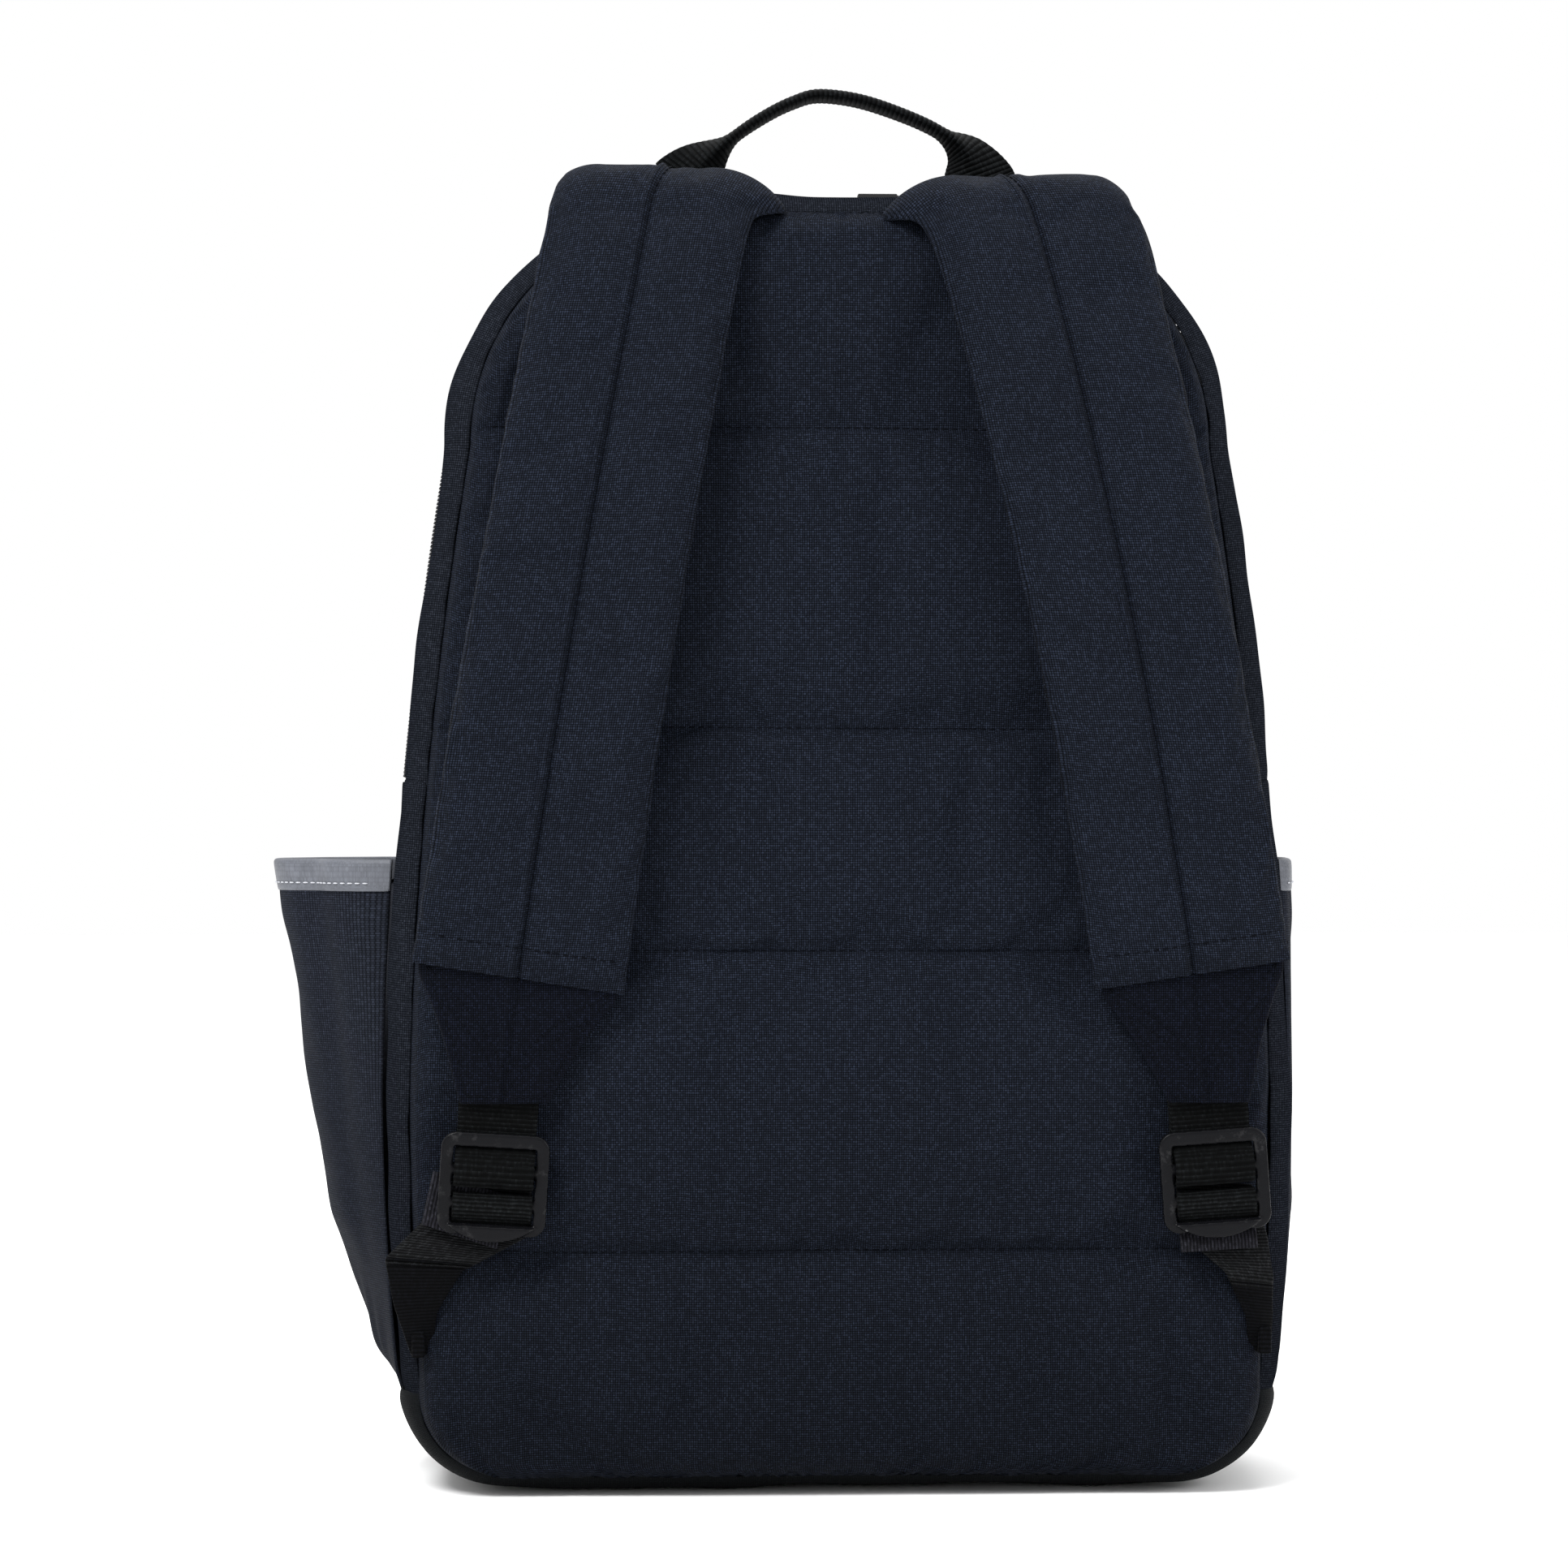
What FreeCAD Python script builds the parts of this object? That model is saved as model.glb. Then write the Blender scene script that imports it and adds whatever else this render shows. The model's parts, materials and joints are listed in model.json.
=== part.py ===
import FreeCAD, Part
import math
import os
from FreeCAD import Vector

# School backpack, about 42 cm tall, drawn in millimetres.
# +Z is up. The shoulder straps are on the -Y side and the front pocket is on the +Y side.
# The origin is the middle of the flat base that the bag stands on.

# ---- Driving dimensions of the bag body ----
HEIGHT = 420.0            # base to top of the main compartment
TOP_FLAT = 45.0           # half length of the straight top
TOP_RADIUS = 83.0         # radius of the two top corners
BASE_FLAT = 108.0         # half length of the straight base edge
BASE_RADIUS = 35.0        # radius of the two bottom corners
HALF_LOW = 143.0          # half width where the bottom corners end
HALF_WAIST = 146.3        # half width a little above the base
HALF_WIDE = 147.5         # half width at the widest height
WAIST_Z = 80.0
WIDE_Z = 128.0
SHOULDER_Z = HEIGHT - TOP_RADIUS
HALF_CHEST = 141.2        # half width halfway between the widest height and the top corners
CHEST_Z = 235.0

BACK_SEAM_Y = -72.0       # seam between back panel and gusset
BULGE_BACK_Y = -64.0      # the gusset is at its full width from here ...
BULGE_FRONT_Y = 20.0      # ... to here
LOFT_FRONT_Y = 60.0       # construction plane ahead of the front panel
SEAM_INSET_BACK = 11.0    # how far the back seam lies inside the full width
SEAM_INSET_FRONT = 8.0
FRONT_BASE_Y = 50.0       # front panel at the base ...
FRONT_TOP_Y = 28.0        # ... and at the top, because the bag narrows upwards
FABRIC = 1.4              # coated polyester with its lining
PANEL_FACE_Y = -81.5      # outer face of the padded back panel
PANEL_STEP_Y = -77.0      # the padded edge starts to round off here
PANEL_ROUND = 5.0
LINING = 1.2
CHANNELS_Z = (341.7, 245.9, 174.4, 78.7)   # quilting channels across the back panel
CHANNEL_RADIUS = 3.0
CHANNEL_DEPTH = 0.9

BASE_TOP_Z = 33.0         # base panel to side panel seam
HINGE_Z = 230.0           # both ends of the main zip, where the upper front folds down
JOINT_GAP = 0.4           # clearance between pieces that move apart

# ---- Zips ----
ZIP_Y = -8.0              # middle plane of the main zip
POCKET_ZIP_Y = 63.0       # middle plane of the front pocket zip
COIL_WIDTH = 3.9
COIL_GAP = 0.5            # half the gap between the two coils
COIL_HEIGHT = 2.8
TAPE_THICK = 0.8
TAPE_DROP = 1.5           # the tape lies this far under the outer surface
TAPE_SHOWN = 9.4          # width of tape seen beside each coil
TAPE_SEWN = 8.0           # width of tape under the panel it is sewn to

# ---- Zip sliders and pulls ----
SLIDER_LENGTH = 12.0
SLIDER_HALF_WIDTH = 5.0
SLIDER_PLATE = 1.6
SLIDER_CLEARANCE = 1.5
LEFT_SLIDER_X = 31.0
RIGHT_SLIDER_X = TOP_FLAT
POCKET_SLIDER_X = 80.0
PULL_LENGTH = 22.0
PULL_WIDTH = 6.0

# ---- Front pocket, drawn upright and then leaned against the front panel ----
LEAN = math.degrees(math.atan2(FRONT_BASE_Y - FRONT_TOP_Y, HEIGHT))
POCKET_BOTTOM = 28.0
POCKET_TOP = 200.0
POCKET_HALF_BOTTOM = 124.0
POCKET_HALF_TOP = 120.0
POCKET_RADIUS = 28.0
POCKET_DEPTH = 26.0
POCKET_HINGE = 60.0
POCKET_FABRIC = 1.3

# ---- Side pockets ----
SIDE_POCKET_Y = (-50.0, 18.0)
SIDE_POCKET_TOP = 203.0
SIDE_POCKET_WALL = 1.2
BINDING = 0.8
BINDING_HEIGHT = 10.0
SIDE_POCKET_HEIGHTS = (34.0, 54.0, 86.0, 128.0, SIDE_POCKET_TOP)
SIDE_POCKET_REACH = {
    "left": (146.0, 154.0, 164.5, 172.0, 184.0),
    "right": (145.0, 147.5, 150.5, 152.0, 151.5),
}
SIDE_POCKET_ROOT = 138.0  # the pocket's back edges are inside the side panel before trimming

# ---- Shoulder straps: side view as (y, z, half thickness), seam end first ----
STRAP_PATH = (
    (-70.0, 406.0, 3.0),
    (-71.5, 417.0, 3.2),
    (-78.0, 422.0, 3.8),
    (-86.0, 418.5, 4.6),
    (-90.5, 409.0, 5.4),
    (-97.0, 385.0, 6.0),
    (-103.5, 345.0, 6.0),
    (-106.5, 300.0, 6.0),
    (-104.5, 250.0, 6.0),
    (-99.0, 205.0, 6.0),
    (-93.0, 158.0, 6.0),
)
STRAP_SKIN = 0.72         # the foam takes this share of the thickness
# Edges of each strap in the back view: top, halfway and bottom of the outer and inner edge,
# then the ends of the sewn patch that narrows to the webbing.
STRAP_EDGES = {
    "left": {"outer": ((-89.8, 432.0), (-117.0, 290.0), (-137.4, 172.0)),
             "inner": ((-24.6, 432.0), (-48.6, 305.0), (-69.7, 161.3)),
             "patch": ((-122.5, 126.6), (-93.7, 126.6))},
    "right": {"outer": ((89.9, 432.0), (120.0, 290.0), (142.1, 172.3)),
              "inner": ((17.9, 432.0), (52.0, 305.0), (79.4, 162.8)),
              "patch": ((129.5, 126.3), (103.0, 126.3))},
}
PATCH_Y = (-95.0, -89.0)
PATCH_OVERLAP = 0.2

# ---- Ladder lock, in its own frame: x across, y through, z along the webbing ----
LOCKS = {
    "left": {"centre": (-111.4, 100.3), "turn": 3.5},
    "right": {"centre": (118.2, 100.9), "turn": -4.0},
}
LOCK_Y = -91.0
LOCK_HALF = 17.2
LOCK_CORNER = 5.0
LOCK_THICK = 4.0
LOCK_WINDOW = 13.2        # half width of the opening between the rails
LOCK_TOP_BAR = (12.6, 17.0)
LOCK_TOP_BACK = 0.8       # the top bar is thinner than the rails at the back
LOCK_SWING_Z = 5.0        # bar that the strap's webbing loops round, and the lock swings on
LOCK_GRIP_Z = -5.5        # bar that the lower webbing wraps over
LOCK_BAR_RADIUS = 2.0
LOCK_LIP_Z = -11.8
LOCK_LIP_RADIUS = 22.0
WEBBING = 25.0            # webbing width
WEB_THICK = 1.6
LOOP_RADIUS = 2.4         # inner radius of a webbing loop on a bar
# Side views of the two webbings below their loops, as (y, z, half thickness) in the lock's frame.
STRAP_WEB_PATH = (
    (2.9, 5.8, 0.8), (4.6, 9.2, 0.8), (6.9, 12.8, 0.8), (6.9, 17.0, 0.8), (5.0, 22.5, 0.8),
    (3.4, 28.0, 0.8),
)
TAIL_PATH = (
    (2.6, -7.2, 0.8), (3.3, -10.0, 0.8), (3.4, -13.5, 0.8), (3.4, -17.5, 0.8), (3.4, -21.5, 0.8),
)
# Lower webbing between each lock and the side seam, as an outline in the back view.
ADJUSTERS = {
    "left": ((-99.0, 98.0), (-124.0, 99.5), (-146.4, 77.2), (-137.0, 45.0),
             (-131.0, 45.5), (-127.0, 70.0), (-101.0, 84.0)),
    "right": ((106.0, 97.5), (131.0, 96.0), (138.0, 72.0), (137.2, 45.0),
              (131.2, 45.0), (124.0, 72.0), (107.0, 82.0)),
}
ADJUSTER_Y = (-85.4, -83.8)
ANCHOR_X = (133.3, 137.4)
ANCHOR_Z = (45.5, 54.0)

# ---- Haul handle ----
HANDLE_Y = -52.0
HANDLE_FOLD = 12.0        # width of the webbing where it is folded double
HANDLE_LEG = 2.0
HANDLE_PIVOT_Z = 423.5
HANDLE_ARCH = (
    (-46.5, 435.0, 2.0), (-38.0, 441.5, 2.0), (-27.0, 447.5, 2.0), (-17.0, 451.0, 2.0),
    (-7.7, 452.0, 2.0), (6.0, 450.7, 2.0), (19.0, 446.7, 2.0), (32.0, 441.0, 2.0),
    (44.0, 433.5, 2.0),
)
HANDLE_LEGS = (
    ((-62.5, 423.8), (-39.5, 423.8), (-37.0, 442.0), (-48.0, 436.5)),
    ((33.5, 423.8), (57.5, 423.8), (47.0, 434.5), (33.0, 441.0)),
)
HANDLE_FEET = ((-63.0, -39.0), (33.0, 58.0))

SIDES = {"left": -1.0, "right": 1.0}
BIG = 600.0


# ---- Basic helpers ----

def box(x0, x1, y0, y1, z0, z1):
    """Box between the given limits, in either order."""
    corner = Vector(min(x0, x1), min(y0, y1), min(z0, z1))
    return Part.makeBox(abs(x1 - x0), abs(y1 - y0), abs(z1 - z0), corner)


def everywhere(y0=-BIG, y1=BIG, z0=-BIG, z1=BIG, x0=-BIG, x1=BIG):
    """Region box that is open on every side that isn't given."""
    return box(x0, x1, y0, y1, z0, z1)


def plate_xz(points, y0, y1):
    """Flat plate with a polygon outline in the back view, from y0 to y1."""
    corners = [Vector(x, y0, z) for x, z in points]
    wire = Part.makePolygon(corners + corners[:1])
    return Part.Face(wire).extrude(Vector(0, y1 - y0, 0))


def band_edges(path, low, high):
    """Points of a band beside a centre line, at two shares of its half thickness."""
    first, second = [], []
    for n, (u, v, half) in enumerate(path):
        before = path[max(n - 1, 0)]
        after = path[min(n + 1, len(path) - 1)]
        du, dv = after[0] - before[0], after[1] - before[1]
        size = math.hypot(du, dv)
        side = (-dv / size, du / size)
        first.append((u + side[0] * half * low, v + side[1] * half * low))
        second.append((u + side[0] * half * high, v + side[1] * half * high))
    return first, second


def band(path, low, high, place, sweep):
    """Curved band: its side view is placed by place(u, v), then swept along a vector."""
    first, second = band_edges(path, low, high)
    curves = []
    for points in (first, second):
        curve = Part.BSplineCurve()
        curve.interpolate([place(u, v) for u, v in points])
        curves.append(curve.toShape())
    ends = [Part.LineSegment(place(*first[n]), place(*second[n])).toShape() for n in (0, -1)]
    wire = Part.Wire(Part.__sortEdges__(curves + ends))
    return Part.Face(wire).extrude(sweep)


# ---- Outline of the bag and the solids that every fabric piece is cut from ----

def outline(inset, y):
    """Outline of the bag in the back view, drawn inset from its full width."""
    low, waist, wide = HALF_LOW - inset, HALF_WAIST - inset, HALF_WIDE - inset
    chest, shoulder = HALF_CHEST - inset, TOP_FLAT + TOP_RADIUS - inset
    half = math.sqrt(0.5)
    round_low, round_top = BASE_RADIUS - inset, TOP_RADIUS - inset
    low_mid = (BASE_FLAT + round_low * half, BASE_RADIUS - round_low * half)
    top_mid = (TOP_FLAT + round_top * half, SHOULDER_Z + round_top * half)
    arcs = (
        ((BASE_FLAT, inset), low_mid, (low, BASE_RADIUS)),
        ((low, BASE_RADIUS), (waist, WAIST_Z), (wide, WIDE_Z)),
        ((wide, WIDE_Z), (chest, CHEST_Z), (shoulder, SHOULDER_Z)),
        ((shoulder, SHOULDER_Z), top_mid, (TOP_FLAT, HEIGHT - inset)),
    )
    base = (Vector(-BASE_FLAT, y, inset), Vector(BASE_FLAT, y, inset))
    top = (Vector(TOP_FLAT, y, HEIGHT - inset), Vector(-TOP_FLAT, y, HEIGHT - inset))
    edges = [Part.LineSegment(*base).toShape()]
    for arc in arcs:
        edges.append(Part.Arc(*[Vector(x, y, z) for x, z in arc]).toShape())
    edges.append(Part.LineSegment(*top).toShape())
    for arc in reversed(arcs):
        edges.append(Part.Arc(*[Vector(-x, y, z) for x, z in reversed(arc)]).toShape())
    return Part.Wire(edges)


def loft(sections):
    """Solid through bag outlines given as (y, inset)."""
    return Part.makeLoft([outline(inset, y) for y, inset in sections], True, True)


def body_solid(inset):
    """The whole bag body, inset from its outer surface."""
    return loft([
        (BACK_SEAM_Y, SEAM_INSET_BACK + inset),
        (BULGE_BACK_Y, inset),
        (BULGE_FRONT_Y, inset),
        (LOFT_FRONT_Y, SEAM_INSET_FRONT + inset),
    ])


def behind_front(offset):
    """Everything behind the sloping front panel's outer face, moved by offset."""
    slope = (FRONT_TOP_Y - FRONT_BASE_Y) / HEIGHT
    low, high = -100.0, 600.0
    points = (
        Vector(-BIG, FRONT_BASE_Y + slope * low + offset, low),
        Vector(-BIG, FRONT_BASE_Y + slope * high + offset, high),
        Vector(-BIG, -BIG, high),
        Vector(-BIG, -BIG, low),
    )
    wire = Part.makePolygon(list(points) + [points[0]])
    return Part.Face(wire).extrude(Vector(2 * BIG, 0, 0))


def front_y(z):
    """Outer face of the front panel at a height."""
    return FRONT_BASE_Y + (FRONT_TOP_Y - FRONT_BASE_Y) * z / HEIGHT


BODY = body_solid(0.0)
BODY_INSIDE = body_solid(FABRIC)
RING = BODY.cut(BODY_INSIDE).common(behind_front(-FABRIC))


def ring_layer(outer, inner, y0, y1, z0):
    """Part of the arch over the top of the bag: a layer between two insets, above z0."""
    layer = body_solid(outer).cut(body_solid(inner))
    return layer.common(everywhere(y0=y0, y1=y1, z0=z0))


# ---- Back panel ----

def panel_form(inset):
    """Filled form of the padded back panel, inset from its outer surface."""
    return loft([
        (BACK_SEAM_Y, SEAM_INSET_BACK + inset),
        (PANEL_STEP_Y, SEAM_INSET_BACK + inset),
        (PANEL_FACE_Y + inset, SEAM_INSET_BACK + inset + PANEL_ROUND),
    ])


BACK_PANEL = panel_form(0.0)


def back_panel():
    """Padded back panel: quilted cover, foam and inner lining."""
    filling = panel_form(FABRIC)
    cover = BACK_PANEL.cut(filling)
    for z in CHANNELS_Z:
        start = Vector(-BIG, PANEL_FACE_Y - CHANNEL_RADIUS + CHANNEL_DEPTH, z)
        cover = cover.cut(Part.makeCylinder(CHANNEL_RADIUS, 2 * BIG, start, Vector(1, 0, 0)))
    lining = filling.common(everywhere(y0=BACK_SEAM_Y - LINING))
    foam = filling.cut(everywhere(y0=BACK_SEAM_Y - LINING))
    return {"back_panel_cover": cover, "back_panel_foam": foam, "back_panel_lining": lining}


def seam_binding():
    """Binding tape sewn over the raw seam inside the back panel."""
    outer = Part.Face(outline(SEAM_INSET_BACK + 2.0, BACK_SEAM_Y))
    inner = Part.Face(outline(SEAM_INSET_BACK + 6.0, BACK_SEAM_Y))
    return {"back_seam_binding": outer.cut(inner).extrude(Vector(0, 2.0, 0))}


# ---- Gusset, base and front ----

def body_panels():
    """Fabric pieces that form the walls of the main compartment."""
    zip_edge = TAPE_SHOWN + COIL_WIDTH + COIL_GAP
    below = HINGE_Z - JOINT_GAP
    lower = RING.common(everywhere(z0=BASE_TOP_Z, z1=HINGE_Z))
    front = BODY.common(behind_front(0.0)).cut(behind_front(-FABRIC))
    parts = {
        "base_panel": RING.common(everywhere(z1=BASE_TOP_Z)),
        "side_panel_left": lower.common(everywhere(x1=0.0)),
        "side_panel_right": lower.common(everywhere(x0=0.0)),
        "rear_gusset": RING.common(everywhere(y1=ZIP_Y - zip_edge, z0=HINGE_Z)),
        "front_gusset": RING.common(everywhere(y0=ZIP_Y + zip_edge, z0=HINGE_Z + JOINT_GAP)),
        "lower_front_panel": front.common(everywhere(z1=below)),
        "upper_front_panel": front.common(everywhere(z0=HINGE_Z + JOINT_GAP)),
    }
    parts["base_board"] = box(-104.0, 104.0, -50.0, 18.0, FABRIC, FABRIC + 3.0)
    return parts


def main_zip():
    """Tapes and coils of the main zip, and the tabs that cover its two ends."""
    tape = TAPE_DROP + TAPE_THICK
    inner = COIL_GAP + COIL_WIDTH
    tape_edge = inner + TAPE_SHOWN + TAPE_SEWN
    start = HINGE_Z + JOINT_GAP
    parts = {
        "main_zip_tape_rear": ring_layer(TAPE_DROP, tape, ZIP_Y - tape_edge, ZIP_Y - inner, start),
        "main_zip_tape_front": ring_layer(TAPE_DROP, tape, ZIP_Y + inner, ZIP_Y + tape_edge, start),
        "main_zip_coil_rear": ring_layer(0.0, COIL_HEIGHT, ZIP_Y - inner, ZIP_Y - COIL_GAP, start),
        "main_zip_coil_front": ring_layer(0.0, COIL_HEIGHT, ZIP_Y + COIL_GAP, ZIP_Y + inner, start),
    }
    tab = body_solid(-1.2).cut(BODY)
    half = TAPE_SHOWN + 1.0
    tab = tab.common(everywhere(y0=ZIP_Y - half, y1=ZIP_Y + half, z0=HINGE_Z - 18.0, z1=HINGE_Z - 1.0))
    parts["zip_end_tab_left"] = tab.common(everywhere(x1=0.0))
    parts["zip_end_tab_right"] = tab.common(everywhere(x0=0.0))
    return parts


# ---- Zip sliders ----

def slider(x, zip_y, surface):
    """Zip slider that straddles the rear coil and reaches over the front one."""
    length = SLIDER_LENGTH / 2
    top = surface + SLIDER_CLEARANCE
    plate = box(x - length, x + length, zip_y - SLIDER_HALF_WIDTH, zip_y + SLIDER_HALF_WIDTH,
                top, top + SLIDER_PLATE)
    verticals = [edge for edge in plate.Edges if abs(edge.tangentAt(edge.FirstParameter).z) > 0.9]
    plate = plate.makeFillet(2.4, verticals)
    post = box(x - 2.5, x + 2.5, zip_y - 0.3, zip_y + 0.3, surface - 4.6, top + 0.1)
    under = box(x - length + 1, x + length - 1, zip_y - SLIDER_HALF_WIDTH, zip_y + 0.3,
                surface - 4.6, surface - 3.4)
    plate_top = top + SLIDER_PLATE
    bridge = box(x - 4, x + 4, zip_y - 1, zip_y + 1, plate_top, plate_top + 2.4)
    bridge = bridge.cut(box(x - 2.8, x + 2.8, zip_y - 2, zip_y + 2, plate_top, plate_top + 1.4))
    return plate.fuse([post, under, bridge]).removeSplitter()


def slider_pull(x, zip_y, surface, direction):
    """Pull tab that hangs on the slider's bridge and lies along direction (-1 or 1)."""
    z = surface + SLIDER_CLEARANCE + SLIDER_PLATE + 0.75
    pin = Part.makeCylinder(0.5, PULL_WIDTH, Vector(x, zip_y - PULL_WIDTH / 2, z), Vector(0, 1, 0))
    tip = x + direction * PULL_LENGTH
    tab = box(x, tip, zip_y - PULL_WIDTH / 2, zip_y + PULL_WIDTH / 2, z - 0.5, z + 0.5)
    ring = box(x - direction * 4.5, x + direction * 6.0, zip_y - 1.9, zip_y + 1.9, z - 2, z + 2)
    grip = box(x + direction * 9.0, tip, zip_y - PULL_WIDTH / 2, zip_y + PULL_WIDTH / 2,
               z - 0.5, z + 1.1)
    return tab.cut(ring).fuse([pin, grip]).removeSplitter()


def main_sliders():
    """The two sliders of the main zip, which meet at the top right when it is closed."""
    return {
        "main_slider_left": slider(LEFT_SLIDER_X, ZIP_Y, HEIGHT),
        "main_pull_left": slider_pull(LEFT_SLIDER_X, ZIP_Y, HEIGHT, -1.0),
        "main_slider_right": slider(RIGHT_SLIDER_X, ZIP_Y, HEIGHT),
        "main_pull_right": slider_pull(RIGHT_SLIDER_X, ZIP_Y, HEIGHT, 1.0),
    }


# ---- Front pocket ----

def pocket_outline(inset):
    """Outline of the front pocket as a face in its own upright plane."""
    low, high = POCKET_BOTTOM + inset, POCKET_TOP - inset
    bottom, top = POCKET_HALF_BOTTOM - inset, POCKET_HALF_TOP - inset
    corners = [Vector(-bottom, FRONT_BASE_Y, low), Vector(bottom, FRONT_BASE_Y, low),
               Vector(top, FRONT_BASE_Y, high), Vector(-top, FRONT_BASE_Y, high)]
    plain = Part.Face(Part.makePolygon(corners + corners[:1])).extrude(Vector(0, 1, 0))
    upright = [edge for edge in plain.Edges if abs(edge.tangentAt(edge.FirstParameter).y) > 0.9]
    rounded = plain.makeFillet(POCKET_RADIUS - inset, upright)
    return min(rounded.Faces, key=lambda face: face.CenterOfMass.y)


def pocket_layer(outer, inner, y0, y1, z0=-BIG, z1=BIG):
    """Ring of the pocket's gusset between two insets."""
    face = pocket_outline(outer).cut(pocket_outline(inner))
    layer = face.extrude(Vector(0, POCKET_DEPTH, 0))
    return layer.common(everywhere(y0=y0, y1=y1, z0=z0, z1=z1))


def lean(shape):
    """Lean a piece drawn upright against the sloping front panel."""
    leaned = shape.copy()
    leaned.rotate(Vector(0, FRONT_BASE_Y, 0), Vector(1, 0, 0), LEAN)
    return leaned


def front_pocket():
    """Front pocket: gusset, arched zip and a panel that folds down below the zip's ends."""
    back, face = FRONT_BASE_Y, FRONT_BASE_Y + POCKET_DEPTH
    inner = COIL_GAP + COIL_WIDTH
    edge = inner + 5.0
    rear_edge, front_edge = POCKET_ZIP_Y - edge, POCKET_ZIP_Y + edge
    start = POCKET_HINGE + JOINT_GAP
    skin = POCKET_FABRIC
    tape = TAPE_DROP + TAPE_THICK
    panel = pocket_outline(0.0).extrude(Vector(0, POCKET_DEPTH, 0))
    panel = panel.common(everywhere(y0=face - skin))
    lower = pocket_layer(0.0, skin, back, face - skin, z1=POCKET_HINGE)
    lower = lower.fuse(panel.common(everywhere(z1=POCKET_HINGE))).removeSplitter()
    parts = {
        "front_pocket_lower": lower,
        "front_pocket_gusset_rear": pocket_layer(0.0, skin, back, rear_edge, z0=POCKET_HINGE),
        "front_pocket_gusset_front": pocket_layer(0.0, skin, front_edge, face - skin, z0=start),
        "front_pocket_panel": panel.common(everywhere(z0=start)),
        "front_pocket_tape_rear": pocket_layer(
            TAPE_DROP, tape, back + 1.0, POCKET_ZIP_Y - inner, z0=start),
        "front_pocket_tape_front": pocket_layer(
            TAPE_DROP, tape, POCKET_ZIP_Y + inner, face - skin, z0=start),
        "front_pocket_coil_rear": pocket_layer(
            0.0, COIL_HEIGHT, POCKET_ZIP_Y - inner, POCKET_ZIP_Y - COIL_GAP, z0=start),
        "front_pocket_coil_front": pocket_layer(
            0.0, COIL_HEIGHT, POCKET_ZIP_Y + COIL_GAP, POCKET_ZIP_Y + inner, z0=start),
        "front_pocket_slider": slider(POCKET_SLIDER_X, POCKET_ZIP_Y, POCKET_TOP),
        "front_pocket_pull": slider_pull(POCKET_SLIDER_X, POCKET_ZIP_Y, POCKET_TOP, 1.0),
    }
    return {name: lean(shape) for name, shape in parts.items()}


# ---- Side pockets ----

def side_pocket_solid(side, grow):
    """Filled shape of a side pocket, grown by the given amount."""
    sign = SIDES[side]
    back, front = SIDE_POCKET_Y[0] - grow, SIDE_POCKET_Y[1] + grow
    middle = (back + front) / 2
    wires = []
    for z, reach in zip(SIDE_POCKET_HEIGHTS, SIDE_POCKET_REACH[side]):
        ends = (Vector(sign * SIDE_POCKET_ROOT, back, z), Vector(sign * SIDE_POCKET_ROOT, front, z))
        crown = Vector(sign * (reach + grow), middle, z)
        arc = Part.Arc(ends[0], crown, ends[1]).toShape()
        wires.append(Part.Wire([arc, Part.LineSegment(ends[1], ends[0]).toShape()]))
    return Part.makeLoft(wires, True, True)


def side_pocket(side):
    """Open side pocket and the reflective binding round its mouth."""
    full = side_pocket_solid(side, 0.0)
    wall = full.cut(side_pocket_solid(side, -SIDE_POCKET_WALL)).cut(BODY)
    binding = side_pocket_solid(side, BINDING).cut(full).cut(BODY)
    binding = binding.common(everywhere(z0=SIDE_POCKET_TOP - BINDING_HEIGHT))
    return {"side_pocket_" + side: wall, "reflective_binding_" + side: binding}


# ---- Shoulder straps ----

def strap_shape(side):
    """Outline of a strap in the back view, as a tall prism."""
    edges = STRAP_EDGES[side]
    outer = [Vector(x, -BIG, z) for x, z in edges["outer"]]
    inner = [Vector(x, -BIG, z) for x, z in edges["inner"]]
    lines = [
        Part.Arc(*outer).toShape(),
        Part.LineSegment(outer[2], inner[2]).toShape(),
        Part.Arc(inner[2], inner[1], inner[0]).toShape(),
        Part.LineSegment(inner[0], outer[0]).toShape(),
    ]
    return Part.Face(Part.Wire(lines)).extrude(Vector(0, BIG, 0))


def strap(side):
    """Padded strap in three layers, sewn into the top seam of the back panel."""
    trim = strap_shape(side)
    layers = {
        "strap_face_": (-1.0, -STRAP_SKIN),
        "strap_foam_": (-STRAP_SKIN, STRAP_SKIN),
        "strap_backing_": (STRAP_SKIN, 1.0),
    }
    solids = {}
    for name, (low, high) in layers.items():
        layer = band(STRAP_PATH, low, high, lambda u, v: Vector(-BIG / 2, u, v), Vector(BIG, 0, 0))
        solids[name + side] = layer.common(trim).cut(BODY).cut(BACK_PANEL)
    edges = STRAP_EDGES[side]
    outline_points = (edges["outer"][2], edges["inner"][2], edges["patch"][1], edges["patch"][0])
    drop = [(x, z - PATCH_OVERLAP) for x, z in outline_points]
    solids["strap_end_patch_" + side] = plate_xz(drop, PATCH_Y[0] + 1.0, PATCH_Y[1])
    return solids


# ---- Ladder locks and their webbing ----

def lock_place(shape, side):
    """Move a piece from the ladder lock's frame to its place on the bag."""
    x, z = LOCKS[side]["centre"]
    placed = shape.copy()
    placed.rotate(Vector(0, 0, 0), Vector(0, 1, 0), LOCKS[side]["turn"])
    placed.translate(Vector(x, LOCK_Y, z))
    return placed


def rounded_plate(half_x, z0, z1, thick, radius):
    """Plate with rounded corners in the lock's frame."""
    plate = box(-half_x, half_x, -thick / 2, thick / 2, z0, z1)
    through = [edge for edge in plate.Edges if abs(edge.tangentAt(edge.FirstParameter).y) > 0.9]
    return plate.makeFillet(radius, through)


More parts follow.
